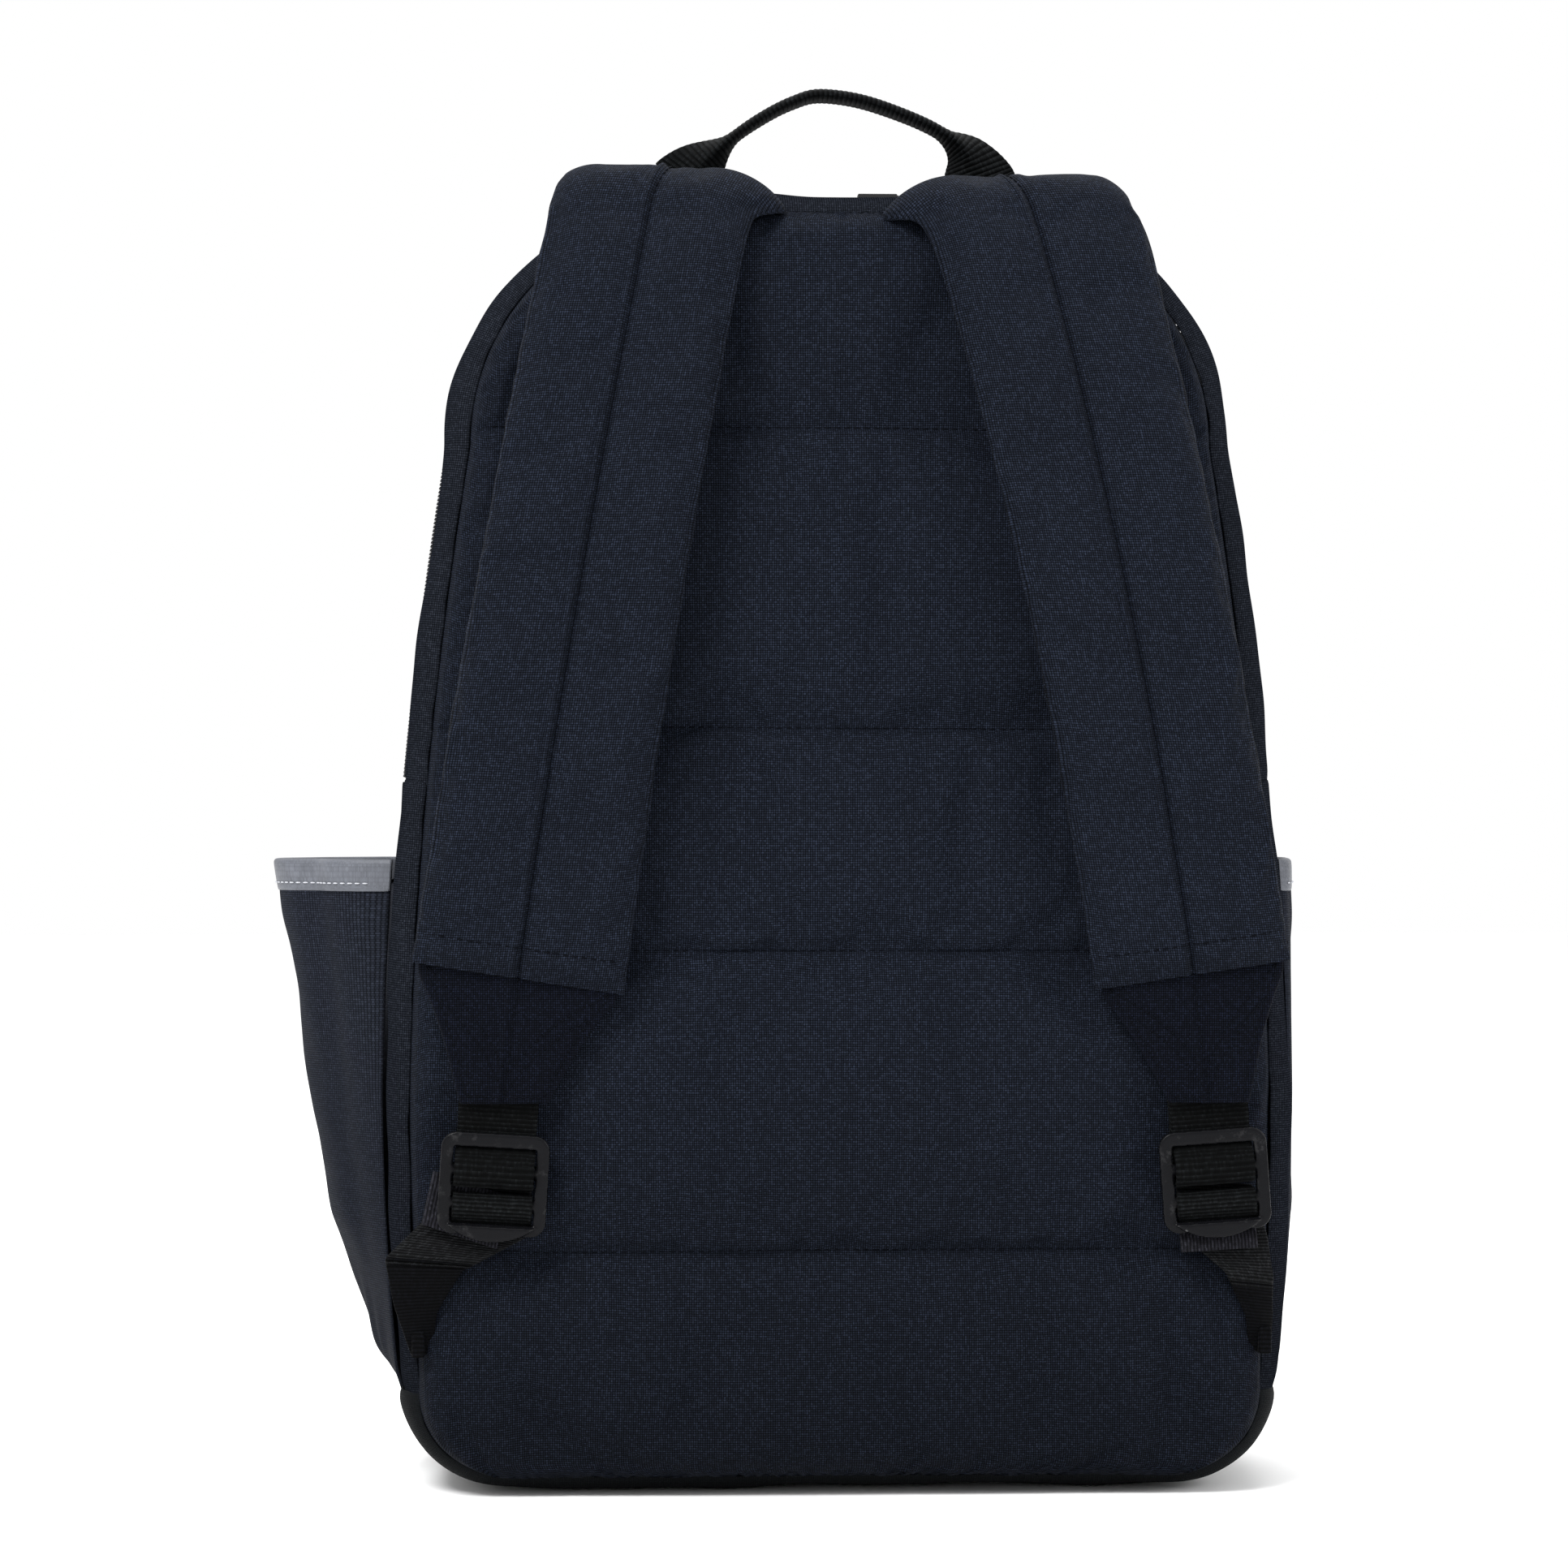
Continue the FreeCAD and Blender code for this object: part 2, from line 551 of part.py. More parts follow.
def ladder_lock():
    """Plastic ladder lock: two rails, a top bar, a swing bar, a grip bar and a thumb lip."""
    frame = rounded_plate(LOCK_HALF, -LOCK_HALF + 2.0, LOCK_TOP_BAR[1], LOCK_THICK, LOCK_CORNER)
    window = LOCK_WINDOW
    frame = frame.cut(box(-window, window, -5, 5, LOCK_LIP_Z, LOCK_TOP_BAR[0]))
    frame = frame.cut(box(-window, window, LOCK_TOP_BACK, 5, LOCK_TOP_BAR[0], LOCK_HALF + 1))
    bars = []
    for z in (LOCK_SWING_Z, LOCK_GRIP_Z):
        start = Vector(-window - 1, 0, z)
        bars.append(Part.makeCylinder(LOCK_BAR_RADIUS, 2 * window + 2, start, Vector(1, 0, 0)))
    centre = Vector(0, -3.6, LOCK_LIP_RADIUS - LOCK_HALF)
    lip = Part.makeCylinder(LOCK_LIP_RADIUS, 3.0, centre, Vector(0, 1, 0))
    lip = lip.common(box(-LOCK_HALF, LOCK_HALF, -4, 2, -LOCK_HALF, LOCK_LIP_Z - 0.5))
    return frame.fuse(bars + [lip]).removeSplitter()


def webbing_loop(bar_z, path):
    """Webbing with a loop round a bar and a flat end that follows the path."""
    half = WEBBING / 2
    start, along = Vector(-half, 0, bar_z), Vector(1, 0, 0)
    loop = Part.makeCylinder(LOOP_RADIUS + WEB_THICK, WEBBING, start, along)
    hole = Part.makeCylinder(LOOP_RADIUS, WEBBING, start, along)
    flat = band(path, -1.0, 1.0, lambda u, v: Vector(-half, u, v), Vector(WEBBING, 0, 0))
    return loop.fuse(flat).cut(hole)


def strap_hardware(side):
    """Ladder lock, its two webbings and the sewn anchor of the lower one."""
    sign = SIDES[side]
    webbing = lock_place(webbing_loop(LOCK_SWING_Z, STRAP_WEB_PATH), side)
    patch = PARTS["strap_end_patch_" + side]
    anchor = box(sign * ANCHOR_X[0], sign * ANCHOR_X[1], ADJUSTER_Y[1], BACK_SEAM_Y + 6.0, *ANCHOR_Z)
    return {
        "strap_end_webbing_" + side: webbing.cut(patch),
        "ladder_lock_" + side: lock_place(ladder_lock(), side),
        "adjuster_tail_" + side: lock_place(webbing_loop(LOCK_GRIP_Z, TAIL_PATH), side),
        "adjuster_webbing_" + side: plate_xz(ADJUSTERS[side], *ADJUSTER_Y),
        "adjuster_anchor_" + side: anchor.cut(BODY).cut(BACK_PANEL),
    }


# ---- Haul handle ----

def haul_handle():
    """Webbing handle, folded double along the middle, and its two sewn feet."""
    start = HANDLE_Y - HANDLE_FOLD / 2
    arch = band(HANDLE_ARCH, -1.0, 1.0, lambda u, v: Vector(u, start, v), Vector(0, HANDLE_FOLD, 0))
    legs = [plate_xz(leg, HANDLE_Y - HANDLE_LEG / 2, HANDLE_Y + HANDLE_LEG / 2)
            for leg in HANDLE_LEGS]
    parts = {"haul_handle": arch.fuse(legs).removeSplitter()}
    for side, (x0, x1) in zip(SIDES, HANDLE_FEET):
        foot = box(x0, x1, HANDLE_Y - HANDLE_LEG, HANDLE_Y + HANDLE_LEG, 410.0, HANDLE_PIVOT_Z - 1.2)
        parts["handle_foot_" + side] = foot.cut(BODY)
    return parts


PARTS = {}
PARTS.update(back_panel())
PARTS.update(seam_binding())
PARTS.update(body_panels())
PARTS.update(main_zip())
PARTS.update(main_sliders())
PARTS.update(front_pocket())
for side in SIDES:
    PARTS.update(side_pocket(side))
    PARTS.update(strap(side))
    PARTS.update(strap_hardware(side))
PARTS.update(haul_handle())

os.makedirs("parts", exist_ok=True)
for node, shape in PARTS.items():
    shape.exportStep("parts/" + node + ".step")
    extent = shape.BoundBox
    print(node, len(shape.Solids), shape.isValid(), round(shape.Volume),
          [round(v, 1) for v in (extent.XMin, extent.XMax, extent.YMin, extent.YMax,
                                 extent.ZMin, extent.ZMax)])
print(len(PARTS), "nodes")
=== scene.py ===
import json
import math

import bpy
import numpy as np
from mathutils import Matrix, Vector


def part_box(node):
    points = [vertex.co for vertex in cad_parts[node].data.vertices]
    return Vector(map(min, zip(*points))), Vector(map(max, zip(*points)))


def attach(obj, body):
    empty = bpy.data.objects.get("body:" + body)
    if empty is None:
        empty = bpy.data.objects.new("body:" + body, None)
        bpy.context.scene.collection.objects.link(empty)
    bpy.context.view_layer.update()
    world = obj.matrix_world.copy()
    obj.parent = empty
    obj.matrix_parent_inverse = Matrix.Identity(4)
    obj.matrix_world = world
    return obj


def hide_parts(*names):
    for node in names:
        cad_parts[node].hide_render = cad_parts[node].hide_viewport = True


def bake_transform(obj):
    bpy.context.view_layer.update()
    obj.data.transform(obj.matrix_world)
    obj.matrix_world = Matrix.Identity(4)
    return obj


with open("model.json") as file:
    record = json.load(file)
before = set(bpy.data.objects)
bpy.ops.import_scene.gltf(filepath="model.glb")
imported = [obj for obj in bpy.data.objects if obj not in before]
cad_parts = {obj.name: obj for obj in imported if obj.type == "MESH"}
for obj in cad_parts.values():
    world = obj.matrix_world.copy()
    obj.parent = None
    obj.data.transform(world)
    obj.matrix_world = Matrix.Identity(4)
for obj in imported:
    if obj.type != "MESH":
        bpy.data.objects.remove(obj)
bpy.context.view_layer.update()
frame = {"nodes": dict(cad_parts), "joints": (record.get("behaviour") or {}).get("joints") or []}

MM = 0.001
SIDES = {"left": -1.0, "right": 1.0}
NODES = frame["nodes"]
JOINTS = {joint["name"]: joint for joint in frame["joints"]}

# ---- Measures taken from the CAD nodes ----
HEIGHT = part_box("rear_gusset")[1].z
BACK_SEAM_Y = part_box("rear_gusset")[0].y
HALF_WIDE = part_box("side_panel_right")[1].x
PANEL_FACE_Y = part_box("back_panel_cover")[0].y
PANEL_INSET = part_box("back_panel_cover")[0].z
BASE_TOP_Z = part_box("base_panel")[1].z
HINGE_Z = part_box("side_panel_left")[1].z
FRONT_LOW_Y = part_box("lower_front_panel")[1].y
FRONT_HINGE_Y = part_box("upper_front_panel")[1].y
REAR_ZIP_EDGE_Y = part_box("rear_gusset")[1].y
FRONT_ZIP_EDGE_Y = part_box("front_gusset")[0].y
COIL_REAR_Y = [corner.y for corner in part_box("main_zip_coil_rear")]
COIL_FRONT_Y = [corner.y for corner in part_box("main_zip_coil_front")]
ZIP_Y = (COIL_REAR_Y[1] + COIL_FRONT_Y[0]) / 2
COIL_WIDTH = COIL_REAR_Y[1] - COIL_REAR_Y[0]
COIL_GAP = COIL_FRONT_Y[0] - ZIP_Y
LOOP_START_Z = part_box("main_zip_coil_rear")[0].z

# ---- Shape of the bag's outline in the back view ----
TOP_FLAT = 45 * MM
TOP_RADIUS = 83 * MM
BASE_FLAT = 108 * MM
BASE_RADIUS = 35 * MM
HALF_LOW = HALF_WIDE - 4.5 * MM
HALF_WAIST = HALF_WIDE - 1.2 * MM
HALF_CHEST = HALF_WIDE - 6.3 * MM
WAIST_Z = 80 * MM
WIDE_Z = 128 * MM
CHEST_Z = 235 * MM
WALL_Y = (BACK_SEAM_Y, BACK_SEAM_Y + 2 * MM, BACK_SEAM_Y + 5 * MM, BACK_SEAM_Y + 9 * MM,
          BACK_SEAM_Y + 14 * MM, 20 * MM, 60 * MM)
WALL_INSET = (8.6 * MM, 5.4 * MM, 2.8 * MM, 1.1 * MM, 0.0, 0.0, 8 * MM)
LOW_SEAM_SHARE = 0.72     # the seam lies closer to the outline along the base
FABRIC = 1.3 * MM
CHANNELS_Z = (78.7 * MM, 174.4 * MM, 245.9 * MM, 341.7 * MM)
THREAD = 0.74 * MM
FOLD_GAP = 0.4 * MM        # gap along the line where a flap folds
NOISE_CELLS = 61          # the noise repeats after this many cells
ROD_SIDES = 6

# ---- Colours, as linear red, green and blue ----
NAVY = (0.0044, 0.0058, 0.0098)
NAVY_POCKET = (0.0082, 0.0098, 0.0146)
NAVY_GUSSET = (0.0078, 0.0090, 0.0122)
NAVY_PATCH = (0.0017, 0.0023, 0.0048)
BASE_GREY = (0.0040, 0.0048, 0.0056)
WEBBING_BLACK = (0.0026, 0.0030, 0.0033)
WEBBING_LOW = (0.0062, 0.0066, 0.0072)
# Painted shade: much darker webbing for the turned-down part of each lower webbing and for the stubs that go
# into the side seams.
WEBBING_IN_SHADE = (0.0009, 0.0010, 0.0016)
TAIL_GREY = (0.0150, 0.0150, 0.0195)
LOCK_GREY = (0.0034, 0.0035, 0.0043)
REFLECTIVE_GREY = (0.095, 0.101, 0.118)
LINING_GREY = (0.040, 0.043, 0.054)
THREAD_NAVY = (0.0019, 0.0023, 0.0038)
THREAD_WHITE = (0.42, 0.43, 0.46)
ZIP_BLACK = (0.0055, 0.0058, 0.0070)
SLIDER_METAL = (0.055, 0.055, 0.060)
BOARD_GREY = (0.060, 0.062, 0.068)
FLOOR_WHITE = (1.0, 1.0, 1.0)


# ---- Plain numeric helpers ----

def smooth_noise(a, b, cell, seed):
    """Smooth noise from -1 to 1 over two coordinates, about one bump per cell."""
    table = np.random.RandomState(seed).uniform(-1, 1, (NOISE_CELLS, NOISE_CELLS))
    u, v = np.asarray(a, float) / cell, np.asarray(b, float) / cell
    u, v = np.broadcast_arrays(u, v)
    iu, iv = np.floor(u).astype(int), np.floor(v).astype(int)
    fu, fv = u - iu, v - iv
    fu, fv = fu * fu * (3 - 2 * fu), fv * fv * (3 - 2 * fv)
    (u0, u1), (v0, v1) = (((i % NOISE_CELLS), (i + 1) % NOISE_CELLS) for i in (iu, iv))
    near = table[u0, v0] * (1 - fu) + table[u1, v0] * fu
    far = table[u0, v1] * (1 - fu) + table[u1, v1] * fu
    return near * (1 - fv) + far * fv


def ease(value, start, end):
    """Smooth step from 0 at start to 1 at end."""
    t = np.clip((np.asarray(value, float) - start) / (end - start), 0, 1)
    return t * t * (3 - 2 * t)


def bump(value, centre, width):
    """Bell curve of the given width round a centre."""
    return np.exp(-((np.asarray(value, float) - centre) / width) ** 2)


def arc_points(a, b, c, count):
    """Points on the circle from a to c through b."""
    a, b, c = (np.array(p, float) for p in (a, b, c))
    cross = (b[0] - a[0]) * (c[1] - a[1]) - (b[1] - a[1]) * (c[0] - a[0])
    if abs(cross) < 1e-10:
        return a + (c - a) * np.linspace(0, 1, count)[:, None]
    squares = [p @ p for p in (a, b, c)]
    x = (squares[0] * (b[1] - c[1]) + squares[1] * (c[1] - a[1]) + squares[2] * (a[1] - b[1]))
    y = (squares[0] * (c[0] - b[0]) + squares[1] * (a[0] - c[0]) + squares[2] * (b[0] - a[0]))
    centre = np.array((x, y)) / (2 * cross)
    angles = [math.atan2(*(p - centre)[::-1]) for p in (a, b, c)]
    turn = 1 if cross > 0 else -1
    sweep = (turn * (angles[2] - angles[0])) % (2 * math.pi)
    t = angles[0] + turn * np.linspace(0, sweep, count)
    return centre + np.hypot(*(a - centre)) * np.stack([np.cos(t), np.sin(t)], 1)


def lengths(points):
    """Distance along a line of points, from its first point."""
    steps = np.linalg.norm(np.diff(points, axis=0), axis=1)
    return np.concatenate([[0], np.cumsum(steps)])


def resample(points, count):
    """The same line with evenly spaced points."""
    along = lengths(points)
    at = np.linspace(0, along[-1], count)
    return np.stack([np.interp(at, along, column) for column in np.asarray(points, float).T], 1)


def spline(points, count):
    """Smooth line through the points, evenly spaced."""
    p = np.asarray(points, float)
    p = np.vstack([2 * p[0] - p[1], p, 2 * p[-1] - p[-2]])
    t = np.linspace(0, 1, 17)[:-1, None]
    parts = []
    for n in range(1, len(p) - 2):
        a, b, c, d = p[n - 1], p[n], p[n + 1], p[n + 2]
        parts.append(0.5 * (2 * b + (c - a) * t + (2 * a - 5 * b + 4 * c - d) * t ** 2
                            + (3 * b - a - 3 * c + d) * t ** 3))
    return resample(np.vstack(parts + [p[-2:-1]]), count)


def stacked(*parts):
    """Separate coordinates joined into one array of points."""
    return np.stack(np.broadcast_arrays(*parts), -1)


def unit(vectors):
    """The vectors scaled to length one."""
    size = np.linalg.norm(vectors, axis=-1, keepdims=True)
    return vectors / np.maximum(size, 1e-12)


def grid_normals(points):
    """Normal at every point of a grid."""
    along = np.gradient(points, axis=0)
    across = np.gradient(points, axis=1)
    return unit(np.cross(across, along))


# ---- Outline of the bag ----

def half_outline():
    """Right half of the outline from the middle of the base up to the middle of the top."""
    half = math.sqrt(0.5)
    shoulder = (TOP_FLAT + TOP_RADIUS, HEIGHT - TOP_RADIUS)
    low_mid = (BASE_FLAT + BASE_RADIUS * half, BASE_RADIUS * (1 - half))
    top_mid = (TOP_FLAT + TOP_RADIUS * half, HEIGHT - TOP_RADIUS * (1 - half))
    wide = (HALF_WIDE, WIDE_Z)
    arcs = (((BASE_FLAT, 0), low_mid, (HALF_LOW, BASE_RADIUS)),
            ((HALF_LOW, BASE_RADIUS), (HALF_WAIST, WAIST_Z), wide),
            (wide, (HALF_CHEST, CHEST_Z), shoulder),
            (shoulder, top_mid, (TOP_FLAT, HEIGHT)))
    lines = [np.array([(0, 0), (BASE_FLAT * 0.5, 0)])]
    lines += [arc_points(*arc, 60) for arc in arcs]
    lines.append(np.array([(TOP_FLAT * 0.5, HEIGHT), (0, HEIGHT)]))
    return resample(np.vstack(lines), 700)


class Outline:
    """Closed symmetric outline, measured by the length round it from the middle of its base."""

    def __init__(self, half_line):
        self.half = half_line
        self.line = np.vstack([half_line, (half_line * (-1, 1))[::-1][1:]])
        self.s = lengths(self.line)
        self.length = self.s[-1]
        ends = np.vstack([self.line[-2:-1], self.line, self.line[1:2]])
        self.normals = unit(ends[2:] - ends[:-2])[:, ::-1] * (1, -1)
        self.half_s = self.s[:len(half_line)]

    def at(self, s):
        """Point and outward normal at a length round the outline."""
        s = np.asarray(s, float) % self.length
        point = np.stack([np.interp(s, self.s, self.line[:, k]) for k in (0, 1)], -1)
        normal = np.stack([np.interp(s, self.s, self.normals[:, k]) for k in (0, 1)], -1)
        return point, unit(normal)

    def s_at(self, z, side):
        """Length round the outline where the given side has this height."""
        right = np.interp(z, self.half[:, 1], self.half_s)
        return right if side == "right" else self.length - right

    def inset_half(self, inset):
        """Right half of the outline, moved inwards by a distance or by one for each height."""
        point, normal = self.at(self.half_s)
        shift = inset(point[:, 1]) if callable(inset) else np.full(len(point), inset)
        return point - normal * shift[:, None]

    def half_width(self, z, inset=0.0):
        """Half width at a height, inset from the outline."""
        line = self.inset_half(inset)
        return np.interp(z, line[:, 1], line[:, 0])

    def edge_distance(self, x, z, inset):
        """Distance from points inside the inset outline to its edge."""
        half = self.inset_half(inset)[::4]
        line = np.vstack([half, half * (-1, 1)])
        flat = np.stack([np.ravel(x), np.ravel(z)], 1)
        batch = 60
        gaps = [np.hypot(*(flat[:, None] - line[None, n:n + batch]).transpose(2, 0, 1)).min(1)
                for n in range(0, len(line), batch)]
        return np.min(gaps, 0).reshape(np.shape(x))


BAG = Outline(half_outline())


def front_y(z):
    """Outer face of the sloping front panel."""
    return FRONT_LOW_Y + (FRONT_HINGE_Y - FRONT_LOW_Y) * np.asarray(z) / HINGE_Z


def seam_share(z):
    """How far the back seam lies inside the outline at a height, as a share of its usual inset."""
    return LOW_SEAM_SHARE + (1 - LOW_SEAM_SHARE) * ease(z, 10 * MM, 70 * MM)


def seam_inset(z):
    """Inset of the back seam at a height."""
    return WALL_INSET[0] * seam_share(z)


def wall_points(s, y, lift=0.0):
    """Points on the bag's wall at lengths round the outline and depths, raised by lift."""
    s, y, lift = np.broadcast_arrays(s, y, lift)
    point, normal = BAG.at(s)
    depth = np.interp(y, WALL_Y, WALL_INSET)
    inset = depth * np.where(y < 0, seam_share(point[..., 1]), 1.0) - lift
    flat = point - normal * inset[..., None]
    return np.stack([flat[..., 0], y, flat[..., 1]], -1)


# ---- Meshes ----

def grid_mesh(name, points, uv, closed=False):
    """Mesh from a grid of points with texture coordinates in metres. A closed one joins its columns."""
    rows, cols = points.shape[:2]
    spans = cols if closed else cols - 1
    mesh = bpy.data.meshes.new(name)
    mesh.vertices.add(rows * cols)
    mesh.vertices.foreach_set("co", points.reshape(-1).astype(np.float32))
    r, c = np.meshgrid(np.arange(rows - 1), np.arange(spans), indexing="ij")
    nxt = (c + 1) % cols
    quads = np.stack([r * cols + c, r * cols + nxt, (r + 1) * cols + nxt, (r + 1) * cols + c], -1)
    quads = quads.reshape(-1, 4)
    mesh.loops.add(quads.size)
    mesh.loops.foreach_set("vertex_index", quads.reshape(-1).astype(np.int32))
    mesh.polygons.add(len(quads))
    mesh.polygons.foreach_set("loop_start", np.arange(0, quads.size, 4, dtype=np.int32))
    mesh.polygons.foreach_set("use_smooth", np.ones(len(quads), bool))
    corners = np.stack([uv[r, c], uv[r, c + 1], uv[r + 1, c + 1], uv[r + 1, c]], 2)
    layer = mesh.uv_layers.new(name="UVMap")
    layer.data.foreach_set("uv", corners.reshape(-1).astype(np.float32))
    mesh.update()
    mesh.validate()
    return mesh


def new_object(name, mesh, *materials):
    """Object for a mesh, linked to the scene."""
    thing = bpy.data.objects.new(name, mesh)
    bpy.context.scene.collection.objects.link(thing)
    for material in materials:
        mesh.materials.append(material)
    return thing


def declare(thing, body, nodes=()):
    """The piece rides on a body and stands for CAD nodes, which it hides."""
    if nodes:
        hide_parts(*nodes)
    if isinstance(body, dict):
        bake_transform(thing)
    else:
        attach(thing, body)
    return thing


def subdivide(thing):
    """One level of subdivision."""
    smooth = thing.modifiers.new("smooth", "SUBSURF")
    smooth.levels = smooth.render_levels = 1


def cloth_piece(name, points, uv, materials, body, nodes=(), thickness=FABRIC, offset=-1.0,
                level=1):
    """Fabric piece made from a grid of points. The second of its named materials is the lining."""
    thing = new_object(name, grid_mesh(name, points, uv), *[MATERIALS[key] for key in materials])
    declare(thing, body, nodes)
    solid = thing.modifiers.new("thickness", "SOLIDIFY")
    solid.thickness = thickness
    solid.offset = offset
    solid.material_offset = len(materials) - 1
    if level:
        subdivide(thing)


def draped_uv(points):
    """Distances over a grid from its middle: across along its rows, up along its columns."""
    runs = []
    for axis, parts in ((1, (0, 1)), (0, (1, 2))):
        steps = np.linalg.norm(np.diff(points[..., parts], axis=axis), axis=-1)
        run = np.insert(np.cumsum(steps, axis), 0, 0.0, axis)
        runs.append(run - np.take(run, [run.shape[axis] // 2], axis))
    return np.stack(runs, -1)


def flat_uv(points):
    """Texture coordinates taken straight from X and Z."""
    return points[..., [0, 2]]


def capsule_rows(length, radius):
    """Rings of a stitch: distances along it and radii."""
    along = np.array((-0.5, -0.42, -0.2, 0.2, 0.42, 0.5)) * length
    return along, np.array((0.25, 0.75, 1.0, 1.0, 0.75, 0.25)) * radius


def rods(name, centres, directions, normals, length, radius, squeeze=1.0, sink=0.0):
    """Many small rounded rods in one mesh, such as stitches or zip teeth."""
    centres, directions, normals = (np.asarray(a, float) for a in (centres, directions, normals))
    directions = unit(directions)
    normals = unit(normals - directions * np.sum(normals * directions, 1)[:, None])
    sides = np.cross(directions, normals)
    along, radii = capsule_rows(length, radius)
    turn = np.arange(ROD_SIDES) / ROD_SIDES * 2 * math.pi
    arch = -sink * (2 * along / length) ** 2
    ring = np.zeros((len(centres), len(along), ROD_SIDES, 3))
    for k, t in enumerate(turn):
        side = radii * math.cos(t) * squeeze
        rise = radii * math.sin(t) + arch
        ring[:, :, k] = (centres[:, None] + directions[:, None] * along[None, :, None]
                         + sides[:, None] * side[None, :, None]
                         + normals[:, None] * rise[None, :, None])
    count, rings = len(centres), len(along)
    base = (np.arange(count) * rings * ROD_SIDES)[:, None, None]
    r, k = np.meshgrid(np.arange(rings - 1) * ROD_SIDES, np.arange(ROD_SIDES), indexing="ij")
    after = (k + 1) % ROD_SIDES
    corners = [base + x for x in (r + k, r + after, r + ROD_SIDES + after, r + ROD_SIDES + k)]
    faces = np.stack(corners, -1).reshape(-1, 4).tolist()
    for first in (base.reshape(-1), base.reshape(-1) + (rings - 1) * ROD_SIDES):
        faces += (first[:, None] + np.arange(ROD_SIDES)).tolist()
    mesh = bpy.data.meshes.new(name)
    mesh.from_pydata(ring.reshape(-1, 3).tolist(), [], faces)
    mesh.polygons.foreach_set("use_smooth", np.ones(len(mesh.polygons), bool))
    return mesh


def stitch_line(points, normals, pitch, radius):
    """Centres, directions and normals of the stitches along a line."""
    along = lengths(points)
    count = max(2, int(along[-1] / pitch))
    at = (np.arange(count) + 0.5) * along[-1] / count
    centre, normal, direction = (np.stack([np.interp(at, along, field[:, k]) for k in range(3)], 1)
                                 for field in (points, normals, np.gradient(points, axis=0)))
    return centre + unit(normal) * radius * 0.35, direction, normal


def sew(name, lines, body, material, pitch=3.0 * MM, share=0.70, radius=0.26 * MM):
    """Stitches along several lines of (points, normals), as one piece of a named material."""
    parts = [stitch_line(points, normals, pitch, radius) for points, normals in lines]
    centres, directions, normals = (np.vstack(part) for part in zip(*parts))
    mesh = rods(name, centres, directions, normals, pitch * share, radius, sink=radius * 0.9)
    declare(new_object(name, mesh, MATERIALS[material]), body)


# ---- Materials ----

BOTTOM_SHADE = 0.66             # painted shade: how dark the cloth is painted at the floor, compared with cloth higher up
BOTTOM_SHADE_UP_TO = 170 * MM
FINE_THREAD = 0.62 * MM   # threads along a webbing
HANDLE_RIB = 1.6 * MM


class Shader:
    """Builds one material's node tree from plain calls."""

    def __init__(self, name):
        self.material = bpy.data.materials.new(name)
        self.material.use_nodes = True
        self.tree = self.material.node_tree
        self.surface = self.tree.nodes["Principled BSDF"]

    def add(self, kind, inputs=(), **settings):
        """Adds a node. Inputs are (socket, value or output) pairs."""
        node = self.tree.nodes.new(kind)
        for key, value in settings.items():
            setattr(node, key, value)
        for socket, value in inputs:
            self.feed(node, socket, value)
        return node

    def feed(self, node, socket, value):
        """Gives a socket a value or a link."""
        if isinstance(value, bpy.types.NodeSocket):
            self.tree.links.new(value, node.inputs[socket])
        else:
            node.inputs[socket].default_value = value

    def math(self, operation, *values, clamp=False):
        """Output of a maths node."""
        pairs = list(enumerate(values))
        return self.add("ShaderNodeMath", pairs, operation=operation, use_clamp=clamp).outputs[0]

    def times(self, first, second, clamp=False):
        """Product of two numbers."""
        return self.math("MULTIPLY", first, second, clamp=clamp)

    def affine(self, value, factor, offset):
        """A number times a factor, plus an offset."""
        return self.math("MULTIPLY_ADD", value, factor, offset)

    def mix(self, share, first, second):
        """Mix of two numbers."""
        return self.add("ShaderNodeMix", [(0, share), (2, first), (3, second)]).outputs[0]

    def colour_mix(self, share, first, second, blend="MIX"):
        """Mix of two colours."""
        colours = [c if isinstance(c, bpy.types.NodeSocket) else (*c, 1.0) for c in (first, second)]
        node = self.add("ShaderNodeMix", [(0, share), (6, colours[0]), (7, colours[1])],
                        data_type="RGBA", blend_type=blend)
        return node.outputs[2]

    def scaled(self, colour, factor):
        """Colour times a number."""
        grey = self.add("ShaderNodeCombineColor", [(0, factor), (1, factor), (2, factor)])
        return self.colour_mix(1.0, colour, grey.outputs[0], "MULTIPLY")

    def noise(self, vector, scale, detail=2.0, roughness=0.5):
        """Noise from 0 to 1."""
        return self.add("ShaderNodeTexNoise", [("Vector", vector), ("Scale", scale),
                                               ("Detail", detail), ("Roughness", roughness)]).outputs[0]

    def random(self, vector):
        """Random number for each whole position."""
        return self.add("ShaderNodeTexWhiteNoise", [("Vector", vector)]).outputs[0]

    def place(self, source="uv"):
        """Texture coordinates in metres: the piece's own, or its position."""
        if source == "uv":
            return self.add("ShaderNodeUVMap").outputs[0]
        position = self.add("ShaderNodeTexCoord").outputs["Object"]
        if source == "position":
            return position
        split = self.add("ShaderNodeSeparateXYZ", [(0, position)])
        keys = {"xz": (0, 2), "yz": (1, 2), "xy": (0, 1)}[source]
        joined = self.add("ShaderNodeCombineXYZ", [(0, split.outputs[keys[0]]), (1, split.outputs[keys[1]])])
        return joined.outputs[0]

    def finish(self, colour, roughness, height=None, depth=0.1 * MM, strength=0.6, **surface):
        """Connects colour, roughness, bump and the rest to the surface."""
        self.feed(self.surface, "Base Color", colour)
        self.feed(self.surface, "Roughness", roughness)
        for key, value in surface.items():
            self.feed(self.surface, key.replace("_", " "), value)
        if height is not None:
            node = self.add("ShaderNodeBump", [("Strength", strength), ("Distance", depth),
                                               ("Height", height)])
            self.feed(self.surface, "Normal", node.outputs[0])
        return self.material


